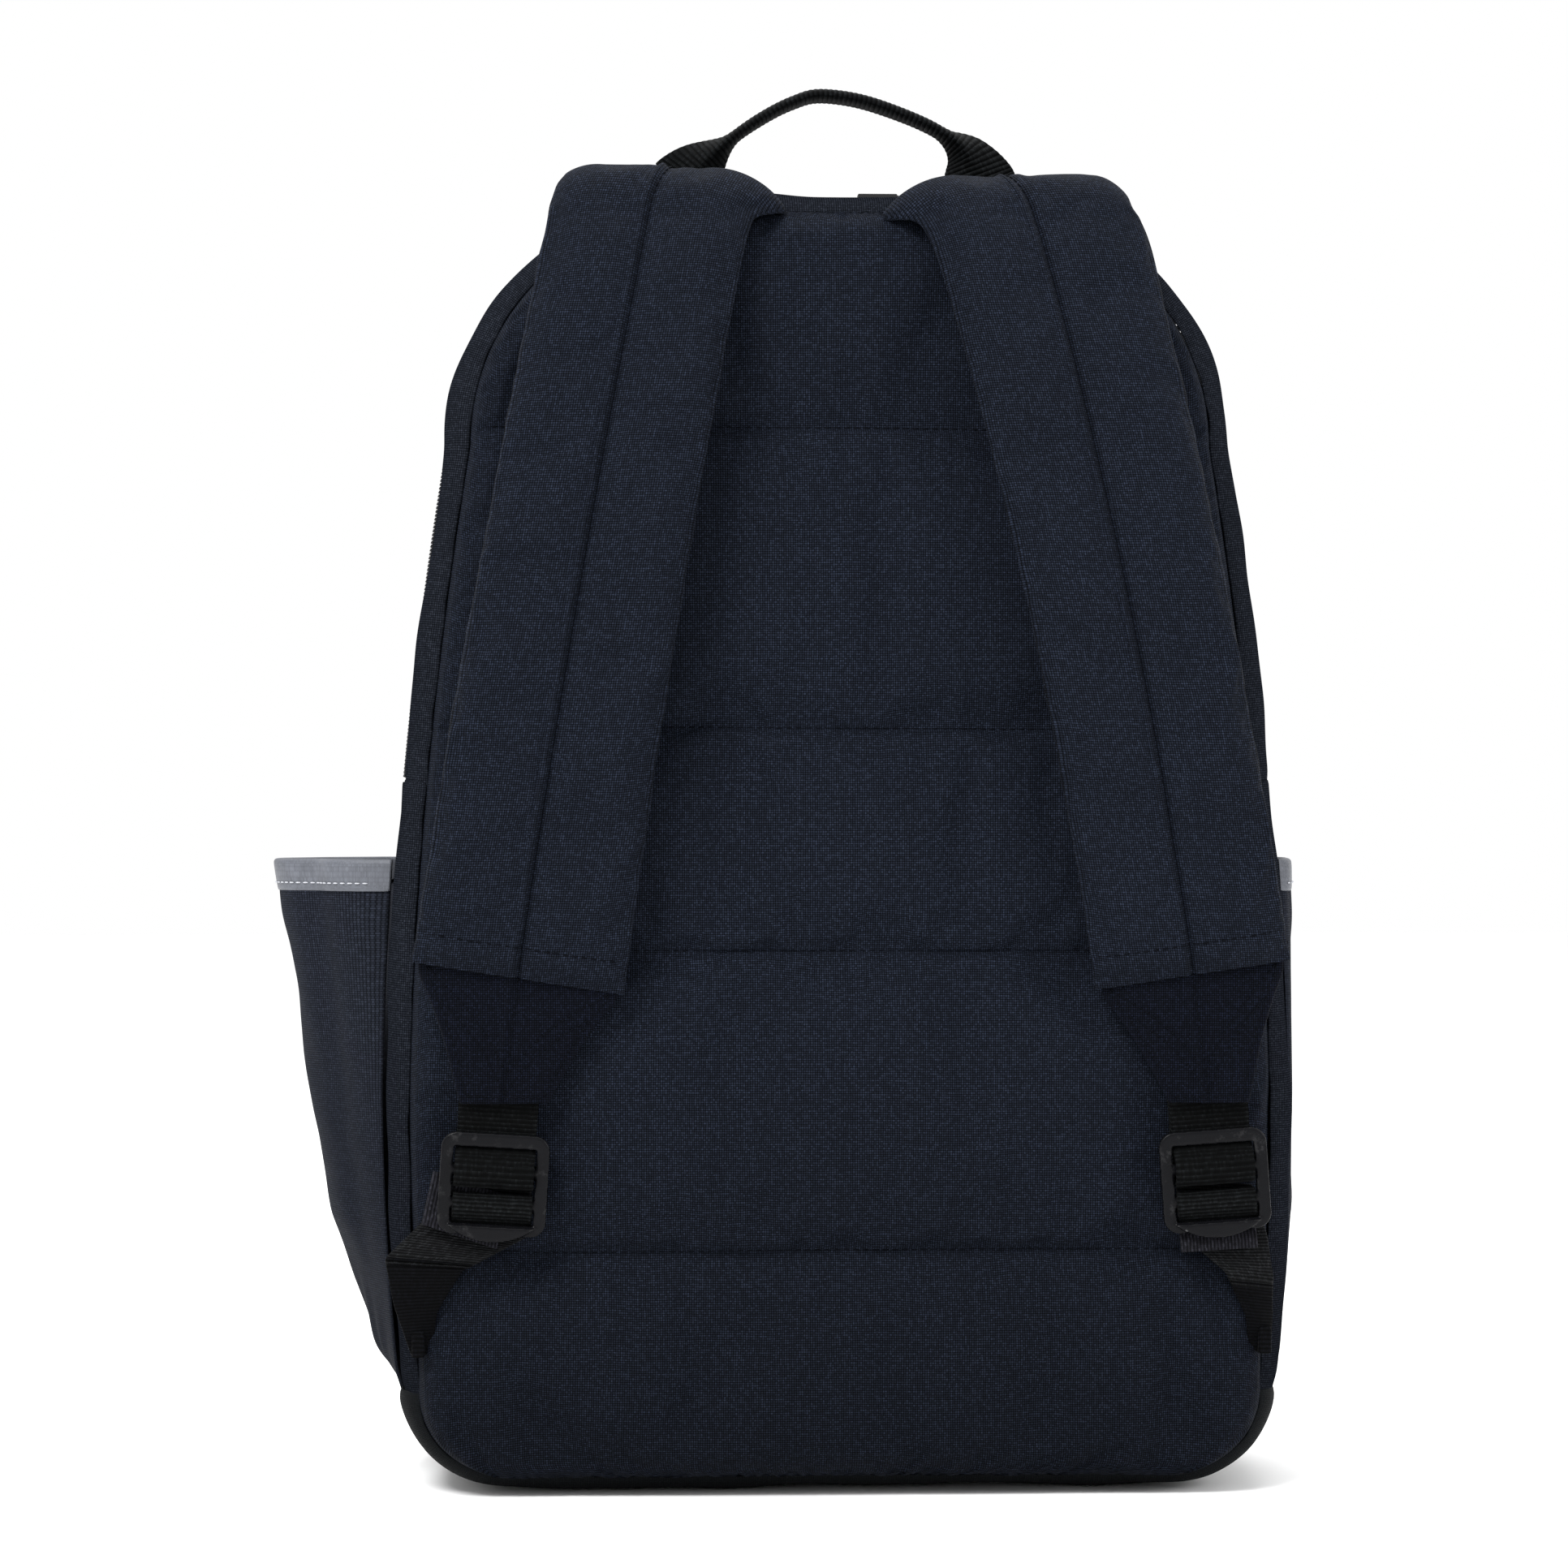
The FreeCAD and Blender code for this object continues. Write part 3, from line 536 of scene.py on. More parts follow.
def weave(shader, place, pitch):
    """Plain weave: height of the threads and a random number for each thread crossing."""
    wobble = shader.noise(place, 90.0)
    shift = shader.times(shader.math("SUBTRACT", wobble, 0.5), 0.5)
    scaled = shader.add("ShaderNodeVectorMath", [(0, place), (1, (1 / pitch, 1 / pitch, 0))],
                        operation="MULTIPLY").outputs[0]
    split = shader.add("ShaderNodeSeparateXYZ", [(0, scaled)])
    u = shader.math("ADD", split.outputs[0], shift)
    v = shader.math("ADD", split.outputs[1], shift)
    cell_u, cell_v = shader.math("FLOOR", u), shader.math("FLOOR", v)
    parity = shader.math("FLOORED_MODULO", shader.math("ADD", cell_u, cell_v), 2.0)
    crowns = [shader.math("SINE", shader.times(shader.math("FRACT", w), math.pi)) for w in (u, v)]
    wide = [shader.affine(shader.math("SQRT", crown), 0.55, 0.45) for crown in crowns]
    warp = shader.times(crowns[0], wide[1])
    weft = shader.times(crowns[1], wide[0])
    height = shader.mix(parity, warp, weft)
    cell = shader.add("ShaderNodeCombineXYZ", [(0, cell_u), (1, cell_v)]).outputs[0]
    thread_u = shader.add("ShaderNodeCombineXYZ", [(0, cell_u), (1, 3.0)]).outputs[0]
    thread_v = shader.add("ShaderNodeCombineXYZ", [(0, cell_v), (1, 7.0)]).outputs[0]
    thread = shader.mix(parity, shader.random(thread_u), shader.random(thread_v))
    speckle = shader.mix(0.14, shader.random(cell), thread)
    return height, speckle


def woven(name, colour, pitch=THREAD, source="uv", contrast=1.45, sheen=0.015, wear=0.3, depth=0.2,
          gloss=0.04):
    """Woven polyester: threads, lighter speckles, slow colour changes, painted shade towards the floor, worn
    ridges and a little sheen.
    """
    shader = Shader(name)
    place = shader.place(source)
    height, speckle = weave(shader, place, pitch)
    lit = shader.math("POWER", height, 1.3)
    tone = shader.affine(lit, 1.9 * contrast, 1.0 - 0.84 * contrast)
    grain = shader.affine(shader.math("POWER", speckle, 2.5), 0.75 * contrast,
                        1.0 - 0.20 * contrast)
    position = shader.place("position")
    broad = shader.affine(shader.noise(position, 22.0, 3.0), 0.22, 0.89)
    fuzz = shader.affine(shader.noise(position, 1900.0, 2.0, 0.7), 0.5, 0.75)
    # Painted shade: the cloth is painted darker towards the floor, fading out higher up.
    low = shader.add("ShaderNodeSeparateXYZ", [(0, position)]).outputs[2]
    bottom_shade = shader.affine(low, (1 - BOTTOM_SHADE) / BOTTOM_SHADE_UP_TO, BOTTOM_SHADE)
    bottom_shade = shader.math("MINIMUM", bottom_shade, 1.0)
    factor = shader.times(shader.times(tone, grain),
                         shader.times(shader.times(broad, fuzz), bottom_shade))
    cloth = shader.scaled(colour, factor)
    ridge = shader.add("ShaderNodeNewGeometry").outputs["Pointiness"]
    worn = shader.times(shader.math("SUBTRACT", ridge, 0.515), 9.0, clamp=True)
    worn = shader.times(worn, wear)
    pale = tuple(c * 1.9 + 0.004 for c in colour)
    cloth = shader.colour_mix(worn, cloth, pale)
    rough = shader.affine(height, -0.16, 0.86)
    tint = (*[min(1.0, c * 9 + 0.25) for c in colour], 1.0)
    return shader.finish(cloth, rough, height, depth * MM, 0.75, Specular_IOR_Level=gloss,
                         Sheen_Weight=sheen, Sheen_Roughness=0.42, Sheen_Tint=tint)


def ribbed(name, colour, pitch=1.45 * MM, along=1, gain=1.0, sheen=0.01, source="uv"):
    """Ribbed webbing: ribs across the length, each made of fine lengthwise threads."""
    shader = Shader(name)
    place = shader.place(source)
    split = shader.add("ShaderNodeSeparateXYZ", [(0, place)])
    length, across = split.outputs[along], split.outputs[1 - along]
    wobble = shader.times(shader.noise(place, 260.0), 0.35)
    ribs = shader.math("ADD", shader.math("DIVIDE", length, pitch), wobble)
    rib = shader.math("SINE", shader.times(ribs, 2 * math.pi))
    rib = shader.affine(rib, 0.5, 0.5)
    fine = shader.math("SINE", shader.times(across, 2 * math.pi / FINE_THREAD))
    fine = shader.affine(fine, 0.5, 0.5)
    height = shader.times(rib, shader.affine(fine, 0.35, 0.65))
    cells = shader.add("ShaderNodeVectorMath", [(0, place), (1, (1 / FINE_THREAD, 1 / pitch, 1))],
                       operation="MULTIPLY").outputs[0]
    cells = shader.add("ShaderNodeVectorMath", [(0, cells)], operation="FLOOR").outputs[0]
    speckle = shader.affine(shader.math("POWER", shader.random(cells), 3.0), 1.3, 0.65)
    tone = shader.times(shader.affine(height, 1.7 * gain, 0.22), speckle)
    position = shader.place("position")
    broad = shader.affine(shader.noise(position, 45.0, 2.0), 0.4, 0.8)
    cloth = shader.scaled(colour, shader.times(tone, broad))
    rough = shader.affine(height, -0.2, 0.78)
    return shader.finish(cloth, rough, height, 0.22 * MM, 0.8, Specular_IOR_Level=0.04,
                         Sheen_Weight=sheen, Sheen_Roughness=0.4)


def reflective(name, colour):
    """Silver-grey reflective tape: fine cloth under tiny glass beads, with faint wear."""
    shader = Shader(name)
    place = shader.place("uv")
    beads = shader.noise(place, 2600.0, 1.0, 0.8)
    height, speckle = weave(shader, place, 0.5 * MM)
    position = shader.place("position")
    rubbed = shader.affine(shader.noise(position, 90.0, 4.0, 0.65), 0.7, 0.65)
    tone = shader.affine(height, 0.25, 0.8)
    tone = shader.times(tone, shader.affine(speckle, 0.3, 0.82))
    cloth = shader.scaled(colour, shader.times(tone, rubbed))
    rough = shader.affine(beads, 0.35, 0.30)
    return shader.finish(cloth, rough, shader.mix(0.5, beads, height), 0.08 * MM, 0.5,
                         Specular_IOR_Level=0.3, Metallic=0.1, Sheen_Weight=0.02)


def moulded(name, colour, rough=0.42, metal=0.0, wear=0.5, grain=2400.0, gloss=0.42, edge=0.02):
    """Moulded plastic or lacquered metal: fine grain, scuffs and lighter edges, which are wear and, on the
    ladder locks, painted highlights.
    """
    shader = Shader(name)
    position = shader.place("position")
    skin = shader.noise(position, grain, 2.0, 0.6)
    scuffs = shader.noise(position, 190.0, 6.0, 0.75)
    scuff = shader.times(shader.math("SUBTRACT", scuffs, 0.58), 5.0, clamp=True)
    ridge = shader.add("ShaderNodeNewGeometry").outputs["Pointiness"]
    worn = shader.times(shader.math("SUBTRACT", ridge, 0.53), 7.0, clamp=True)
    broad = shader.affine(shader.noise(position, 60.0, 2.0), 0.3, 0.85)
    base = shader.scaled(colour, broad)
    # Pale edges: wear, and where they are set strong and bright, as on the ladder locks, painted highlights
    # along the rims.
    pale = tuple(min(1.0, c * 2.6 + edge) for c in colour)
    share = shader.times(shader.math("MAXIMUM", shader.times(scuff, 0.3), worn), wear)
    finished = shader.colour_mix(share, base, pale)
    roughness = shader.affine(skin, 0.22, rough - 0.1)
    roughness = shader.math("ADD", roughness, shader.times(scuff, 0.1))
    return shader.finish(finished, roughness, skin, 0.03 * MM, 0.35, Metallic=metal, Specular_IOR_Level=gloss)


def thread(name, colour):
    """Twisted sewing thread."""
    shader = Shader(name)
    position = shader.place("position")
    twist = shader.noise(position, 3200.0, 1.0, 0.6)
    tone = shader.affine(twist, 0.9, 0.55)
    return shader.finish(shader.scaled(colour, tone), 0.6, twist, 0.08 * MM, 0.6,
                         Sheen_Weight=0.0, Specular_IOR_Level=0.03)


MATERIALS = {
    "navy": woven("navy_weave", NAVY),
    "navy_strap": woven("navy_strap_weave", NAVY, sheen=0.04, wear=0.4),
    "navy_pocket": woven("navy_pocket_weave", NAVY_POCKET, contrast=0.9),
    "gusset": woven("gusset_weave", NAVY_GUSSET, contrast=1.0, sheen=0.0, wear=0.03, gloss=0.0),
    "base": woven("base_weave", BASE_GREY, contrast=0.6),
    "lining": woven("lining_weave", LINING_GREY, pitch=0.45 * MM, contrast=0.45, sheen=0.03, depth=0.08),
    "patch": woven("patch_weave", NAVY_PATCH, contrast=1.5, depth=0.3),
    "tab": woven("tab_weave", NAVY_GUSSET, source="yz", contrast=0.8),
    "zip_tape": woven("zip_tape_weave", ZIP_BLACK, pitch=0.55 * MM, contrast=0.6, sheen=0.02),
    "webbing": ribbed("webbing_ribs", WEBBING_BLACK),
    # Painted shade: darker copy of the webbing for the turned-down part of each lower webbing.
    "webbing_shaded": ribbed("webbing_painted_shade", WEBBING_IN_SHADE, pitch=1.1 * MM, gain=0.7),
    "webbing_low": ribbed("webbing_low_ribs", WEBBING_LOW, pitch=1.1 * MM, gain=0.8),
    "tail": ribbed("tail_ribs", TAIL_GREY, pitch=1.1 * MM, along=0, gain=0.5),
    "handle": ribbed("handle_ribs", WEBBING_BLACK, pitch=HANDLE_RIB),
    "foot": ribbed("handle_foot_ribs", WEBBING_BLACK, pitch=HANDLE_RIB, source="xz"),
    # The stub that goes into the side seam takes the darker webbing colour as painted shade.
    "anchor": ribbed("anchor_ribs", WEBBING_IN_SHADE, gain=0.8, source="xz"),
    "reflective": reflective("reflective_tape", REFLECTIVE_GREY),
    # The locks' strong, bright pale edges are painted highlights along their rims; their scuffs are wear.
    "plastic": moulded("lock_plastic", LOCK_GREY, rough=0.26, wear=1.0, gloss=0.07, edge=0.07),
    "coil": moulded("zip_coil_nylon", ZIP_BLACK, rough=0.45, wear=0.3, gloss=0.12),
    "metal": moulded("slider_lacquer", SLIDER_METAL, rough=0.34, metal=0.85, wear=0.8),
    "pull": moulded("pull_rubber", ZIP_BLACK, rough=0.55, wear=0.5),
    "board": moulded("board_plastic", BOARD_GREY, rough=0.6, wear=0.3),
    "stitch": thread("navy_thread", THREAD_NAVY),
    "white_stitch": thread("white_thread", THREAD_WHITE),
}


# ---- Cloth simulation ----

SIM_FRAMES = 20
STIFFNESS = 18.0
CUT_LARGER = 0.022        # how much larger the cloth is cut than its frame
PANEL_PRESSURE, PANEL_CAP, PANEL_FILL = 1.6, 3.0 * MM, 0.55
STRAP_PRESSURE, STRAP_CAP, STRAP_FILL = 1.7, 2.2 * MM, 0.8


def pin(thing, mask):
    """Vertex group of the points that the sewing holds in place."""
    group = thing.vertex_groups.new(name="sewn")
    group.add([int(n) for n in np.flatnonzero(np.ravel(mask))], 1.0, "REPLACE")


def add_cloth(thing, pressure):
    """Sets a piece up as cloth that a soft filling pushes outwards, cut a little larger than its frame."""
    cloth = thing.modifiers.new("cloth", "CLOTH")
    settings = cloth.settings
    settings.quality = 6
    settings.mass = 0.25
    settings.tension_stiffness = STIFFNESS
    settings.compression_stiffness = STIFFNESS
    settings.shear_stiffness = STIFFNESS * 0.4
    settings.bending_stiffness = 0.35
    settings.tension_damping = 12
    settings.compression_damping = 12
    settings.shear_damping = 8
    settings.bending_damping = 1.0
    settings.air_damping = 4.0
    settings.use_pressure = True
    settings.uniform_pressure_force = pressure
    settings.shrink_min = -CUT_LARGER
    settings.vertex_group_mass = "sewn"
    settings.effector_weights.gravity = 0.0
    cloth.collision_settings.use_collision = False
    cloth.point_cache.frame_start = 1
    cloth.point_cache.frame_end = SIM_FRAMES


def simulate(things, caps):
    """Runs the cloth, keeps each point within its cap of where it started, and removes the modifier."""
    scene = bpy.context.scene
    for step in range(1, SIM_FRAMES + 1):
        scene.frame_set(step)
    graph = bpy.context.evaluated_depsgraph_get()
    results = []
    for thing, cap in zip(things, caps):
        before, after = read_points(thing.data), read_points(thing.evaluated_get(graph).data)
        move = after - before
        size = np.linalg.norm(move, axis=1, keepdims=True)
        results.append(before + move * np.minimum(1.0, cap * np.tanh(size / cap) / np.maximum(size, 1e-9)))
    for thing, points in zip(things, results):
        thing.modifiers.remove(thing.modifiers["cloth"])
        write_points(thing.data, points)
    scene.frame_set(1)


def read_points(mesh):
    """Vertices of a mesh as an array."""
    flat = np.zeros(len(mesh.vertices) * 3, np.float32)
    mesh.vertices.foreach_get("co", flat)
    return flat.reshape(-1, 3).astype(float)


def write_points(mesh, points):
    """Moves the vertices of a mesh to an array."""
    mesh.vertices.foreach_set("co", points.astype(np.float32).ravel())
    mesh.update()


# ---- Back panel ----

LOCK_DENT = 2.4 * MM      # how far the tilting locks have pressed the padding in
BACKWARDS = (0.0, -1.0, 0.0)   # towards the wearer's back
PANEL_STEP = 2.6 * MM
PANEL_PUFF = 1.6 * MM
EDGE_ROUND = 10 * MM
CHANNEL_DEPTH = 3.2 * MM
CHANNEL_SLOPE = 1.9 * MM
# Places where the straps' pull notches the panel's sides: side, height and depth in mm.
NOTCHES = ((1, 331, 1.8), (1, 309, 2.0), (-1, 313, 1.8), (-1, 357, 0.9),
           (1, 214, 0.8), (-1, 206, 0.9), (-1, 128, 1.0), (1, 118, 0.8))


def panel_rows(outline, inset, z0, z1, spacing, flats, snap=()):
    """Half widths and heights of rows that follow the side of an outline between two heights."""
    line = outline.inset_half(inset)
    low_flat, top_flat = flats
    middle = outline.half[:, 1].max() / 2
    keep = (line[:, 1] >= z0) & (line[:, 1] <= z1)
    keep &= (outline.half[:, 0] >= low_flat) | (outline.half[:, 1] > middle)
    keep &= (outline.half[:, 0] >= top_flat) | (outline.half[:, 1] < middle)
    side = line[keep]
    if z0 > line[:, 1].min():
        side = np.vstack([(outline.half_width(z0, inset), z0), side])
    if z1 < line[:, 1].max():
        side = np.vstack([side, (outline.half_width(z1, inset), z1)])
    rows = resample(side, int(lengths(side)[-1] / spacing) + 2)
    for z in snap:
        nearest = int(np.argmin(abs(rows[:, 1] - z)))
        rows[nearest] = (outline.half_width(z, inset), z)
    return rows


def panel_grid(rows, cols):
    """Grid of x and z across the rows."""
    t = np.linspace(-1, 1, cols)
    x = rows[:, :1] * t[None]
    return x, np.repeat(rows[:, 1:], cols, 1)


def channel_line(x, z):
    """Height of a quilting channel: nearly level, the lowest one rises at its left end."""
    wave = 0.5 * MM * smooth_noise(x, np.full_like(x, z), 60 * MM, 5)
    if z == CHANNELS_Z[0]:
        wave = wave + 5.0 * MM * ease(-x, 96 * MM, 142 * MM)
    return z + wave


def back_panel_points():
    """The quilted back panel before its filling puffs it up."""
    spacing = PANEL_STEP
    rows = panel_rows(BAG, seam_inset, 0.0, HEIGHT, spacing, (BASE_FLAT, TOP_FLAT), CHANNELS_Z)
    x, z = panel_grid(rows, int(2 * HALF_WIDE / spacing))
    for level in CHANNELS_Z:
        z = z + (channel_line(x, level) - level) * bump(z, level, 22 * MM)
    edge = BAG.edge_distance(x, z, seam_inset)
    round_off = np.sqrt(1 - (1 - np.clip(edge / EDGE_ROUND, 0, 1)) ** 2)
    y = BACK_SEAM_Y + (PANEL_FACE_Y - BACK_SEAM_Y) * round_off
    puff = PANEL_PUFF * ease(edge, 0, 40 * MM)
    for level in CHANNELS_Z:
        gap = z - channel_line(x, level)
        fade = ease(edge, 0, 6 * MM)
        y = y + fade * CHANNEL_DEPTH * np.exp(-abs(gap) / CHANNEL_SLOPE)
        puff = puff * (1 - 0.8 * bump(gap, 0, 14 * MM))
    y = y - puff
    crease = smooth_noise(x, z, 34 * MM, 11) * 0.7 + smooth_noise(x, z, 13 * MM, 12) * 0.3
    y = y + crease * 0.9 * MM * ease(edge, 0, 25 * MM)
    near_low = bump(z, PANEL_INSET + 16 * MM, 26 * MM)
    gathers = np.sin(x / (7.5 * MM) + 2.0 * smooth_noise(x, z, 30 * MM, 13))
    y = y + gathers * 0.55 * MM * near_low * ease(edge, 2 * MM, 14 * MM)
    notch = sum(bump(z, level * MM, 3.2 * MM) * ease(side * x, 78 * MM, 128 * MM) * depth * MM
                for side, level, depth in NOTCHES)
    y = y + notch * ease(edge, 0, 5 * MM)
    points = np.stack([x, y, z], -1)
    for rim in (np.s_[0], np.s_[-1], np.s_[:, 0], np.s_[:, -1]):
        points[rim][..., 1] = BACK_SEAM_Y + 3 * MM
    return points


def pressed_by_locks(x, z):
    """How far the padding is pressed in behind the tops of the two ladder locks."""
    depth = 0.0
    for side in SIDES:
        low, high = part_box("ladder_lock_" + side)
        half = (high.x - low.x) / 2
        across = 1 - ease(abs(x - (low.x + high.x) / 2), half, half + 12 * MM)
        upright = 1 - ease(abs(z - high.z + 4 * MM), 7 * MM, 21 * MM)
        depth = depth + LOCK_DENT * across * upright
    return depth


def channel_rows(points):
    """Which rows of the back panel are quilting channels."""
    middle = points[:, points.shape[1] // 2, 2]
    return [int(np.argmin(abs(middle - channel_line(np.zeros(1), z)[0]))) for z in CHANNELS_Z]


def back_panel():
    """Quilted back panel, ready for the simulation."""
    points = back_panel_points()
    thing = new_object("back_panel_quilted", grid_mesh("back_panel_quilted", points, draped_uv(points)),
                       MATERIALS["navy"])
    sewn = np.zeros(points.shape[:2], bool)
    sewn[:2], sewn[-2:], sewn[:, :2], sewn[:, -2:] = True, True, True, True
    sewn[channel_rows(points)] = True
    pin(thing, sewn)
    add_cloth(thing, PANEL_PRESSURE)
    return thing, points.shape[:2]


def finish_back_panel(thing, shape):
    """Dents behind the locks, lines of stitches in the channels, and the declarations."""
    points = read_points(thing.data)
    points[:, 1] += pressed_by_locks(points[:, 0], points[:, 2])
    write_points(thing.data, points)
    declare(thing, "bag", ("back_panel_cover", "back_panel_foam"))
    points = read_points(thing.data).reshape(*shape, 3)
    lines = []
    for row in channel_rows(points):
        line = points[row, 3:-3] + np.array((0, -0.1 * MM, 0))
        lines.append((line, np.tile(BACKWARDS, (len(line), 1))))
    sew("back_panel_stitches", lines, "bag", "stitch", 3.1 * MM)


# ---- Shoulder straps ----

STRAP_PATH = ((-70.0, 406.0, 3.0), (-71.5, 417.0, 3.2), (-78.0, 422.0, 3.8), (-86.0, 418.5, 4.6),
              (-90.5, 409.0, 5.4), (-97.0, 385.0, 6.0), (-103.5, 345.0, 6.0), (-106.5, 300.0, 6.0),
              (-104.5, 250.0, 6.0), (-99.0, 205.0, 6.0), (-93.0, 158.0, 6.0))
STRAP_EDGES = {
    "left": {"low_x": ((-89.8, 432.0), (-117.0, 290.0), (-137.4, 172.0)),
             "high_x": ((-24.6, 432.0), (-48.6, 305.0), (-69.7, 161.3)),
             "patch": ((-122.5, 126.6), (-93.7, 126.6))},
    "right": {"low_x": ((17.9, 432.0), (52.0, 305.0), (79.4, 162.8)),
              "high_x": ((89.9, 432.0), (120.0, 290.0), (142.1, 172.3)),
              "patch": ((103.0, 126.3), (129.5, 126.3))},
}
STRAP_FLARE = 9.0 * MM    # the strap is wider where it rolls over the top
STRAP_STEP = {"left": 1.0 * MM, "right": 0.9 * MM}
HUMP_DROP = {"left": 0.0, "right": 2.4 * MM}
OUTER_DROOP = {"left": 3.5 * MM, "right": 6.5 * MM}
SEAM_HELD = 3.4 * MM      # cloth this near the middle seam is held by its stitches
END_SEAM = 12 * MM        # the cross seam's distance from the strap's end
SEAM_DEPTH, SEAM_SLOPE = 1.9 * MM, 0.9 * MM      # the stitched groove down the middle
SEAM_DIP, SEAM_DIP_WIDE = 0.9 * MM, 7 * MM       # the shallow dip that it lies in
SEAM_RIDGE = 1.0 * MM     # the turned-in cloth beside it
STRAP_MESH_STEP = 2.5 * MM
STRAP_LENGTH = 278 * MM   # as meshed
STRAP_GIRTH = 140 * MM


def strap_edge(points):
    """x of a strap's edge at each height, as two matching arrays that rise in height."""
    line = arc_points(*[np.array(p) * MM for p in points], 80)
    step = line[-1] - line[-2]
    line = np.vstack([line, line[-1] + step / np.linalg.norm(step) * 20 * MM])[::-1]
    return line[:, 0], line[:, 1]


def strap_frame(side, v, q):
    """Centre, outward normal, half thickness and lateral length of a strap at shares v and q."""
    path = spline([(y * MM, z * MM, half * MM) for y, z, half in STRAP_PATH], 400)
    along = lengths(path[:, :2])
    edges = STRAP_EDGES[side]
    ends = [edges[key][2] for key in ("low_x", "high_x")]
    end_z = (ends[0][1] + (ends[1][1] - ends[0][1]) * (q + 1) / 2) * MM
    low = path[:, 1] < 0.35
    w_end = np.interp(end_z, path[low][::-1, 1], along[low][::-1])
    w = v * w_end
    y, z, half = (np.interp(w, along, path[:, k]) for k in range(3))
    tangent = unit(np.gradient(path[:, :2], axis=0))
    dy, dz = (np.interp(w, along, tangent[:, k]) for k in (0, 1))
    normal = unit(np.stack([np.zeros_like(dy), dz, -dy], -1))
    low_x, high_x = (np.interp(z, strap_edge(edges[key])[1], strap_edge(edges[key])[0])
                     for key in ("low_x", "high_x"))
    crest = along[int(np.argmax(path[:, 1]))]
    over = 1 - ease(w, crest - 2 * MM, crest + 16 * MM)
    if side == "left":
        high_x = high_x + STRAP_FLARE * over
        inner, outer = high_x, low_x
    else:
        low_x = low_x - STRAP_FLARE * over
        inner, outer = low_x, high_x
    x = low_x + (high_x - low_x) * (q + 1) / 2
    near_crest = bump(w, crest - 2 * MM, 20 * MM)
    from_inner = np.clip(1 - abs(x - inner) / (24 * MM), 0, 1)
    from_outer = np.clip(1 - abs(x - outer) / (13 * MM), 0, 1)
    droop = 10 * MM * from_inner ** 2 + OUTER_DROOP[side] * from_outer ** 2 + HUMP_DROP[side]
    droop = droop * near_crest
    lower_half = STRAP_STEP[side] * near_crest * ease(SIDES[side] * (high_x + low_x - 2 * x), -4 * MM, 4 * MM)
    z = z - droop - lower_half
    return np.stack([x, y, z], -1), normal, half, w, (high_x - low_x) / 2


def strap_points(side):
    """Closed skin of a padded strap with its seam along the middle."""
    spacing = STRAP_MESH_STEP
    rows, across = int(STRAP_LENGTH / spacing), int(STRAP_GIRTH / spacing)
    v = np.linspace(0, 1, rows)[:, None]
    fine = np.linspace(-1, 1, 2001)
    density = 1 + 2 * bump(abs(fine), 1, 0.12) + 5 * bump(fine, -0.03, 0.10)
    share = np.cumsum(density) - density[0]
    q_face = np.interp(np.linspace(share[-1], 0, across), share, fine)
    q = np.concatenate([q_face, q_face[::-1][1:-1]])[None]
    face = np.concatenate([np.ones(across), -np.ones(across - 2)])[None]
    v, q, face = np.broadcast_arrays(v, q, face)
    centre, normal, half, w, width = strap_frame(side, v, q)
    edge = np.sqrt(np.clip(1 - abs(q) ** 5, 0, 1))
    remaining = (1 - v) * w.max()
    taper = 1 - 0.72 * (1 - np.clip(remaining / (11 * MM), 0, 1)) ** 2
    rise = half * edge * taper * np.where(face > 0, 1.05, -0.9)
    beside = q * width
    seam = SEAM_DEPTH * np.exp(-abs(beside) / SEAM_SLOPE) + SEAM_DIP * np.exp(-abs(beside) / SEAM_DIP_WIDE)
    ridge = SEAM_RIDGE * bump(beside, -2.2 * MM, 1.0 * MM)
    seam = seam * (1 - 0.75 * ease(centre[..., 2], 405 * MM, 419 * MM))
    rise = rise - np.where(face > 0, seam - ridge, 0) * ease(w, 4 * MM, 14 * MM) * edge
    end_line = 1.5 * MM * np.exp(-abs(remaining - END_SEAM) / (1.6 * MM)) * edge
    rise = rise - face * end_line
    soft = smooth_noise(beside, w, 30 * MM, 21 if side == "left" else 22)
    rise = rise + soft * 0.8 * MM * edge * ease(w, 0, 60 * MM)
    points = centre + normal * rise[..., None]
    return points, np.stack([beside, w], -1), q, remaining


def strap(side):
    """Padded strap, ready for the simulation."""
    points, place, q, remaining = strap_points(side)
    uv = np.concatenate([place, place[:, :1]], 1)
    name = "strap_padded_" + side
    thing = new_object(name, grid_mesh(name, points, uv, closed=True), MATERIALS["navy_strap"])
    cols = points.shape[1]
    middle = int(np.argmin(abs(q[0, :cols // 2])))
    sewn = abs(place[..., 0]) < SEAM_HELD
    sewn[:, cols // 2:] = False
    sewn[:, [0, cols // 2]] = True
    sewn[0], sewn[-1] = True, True
    sewn[int(np.argmin(abs(remaining[:, middle] - END_SEAM)))] = True
    pin(thing, sewn)
    add_cloth(thing, STRAP_PRESSURE)
    return thing, points.shape[:2], middle


def finish_strap(thing, side, shape, middle):
    """Seam stitches, declarations and the padded shape of a simulated strap."""
    layers = ("strap_face_", "strap_foam_", "strap_backing_")
    declare(thing, "bag", [layer + side for layer in layers])
    points = read_points(thing.data).reshape(*shape, 3)
    normals = grid_normals(points)
    seam = points[:, middle]
    row = int(np.argmin(abs(lengths(seam)[-1] - lengths(seam) - END_SEAM)))
    face = slice(2, shape[1] // 2 - 1)
    seam = seam + normals[:, middle] * 0.3 * MM
    lines = [(seam[6:-1], normals[6:-1, middle]), (points[row, face], normals[row, face])]
    sew("strap_stitches_" + side, lines, "bag", "stitch", 3.0 * MM)
    subdivide(thing)


# ---- Walls of the bag ----

WALL_SEED = 31
WALL_STEP = 3.2 * MM
TUCK = 4 * MM             # a wall piece reaches this far under its neighbour


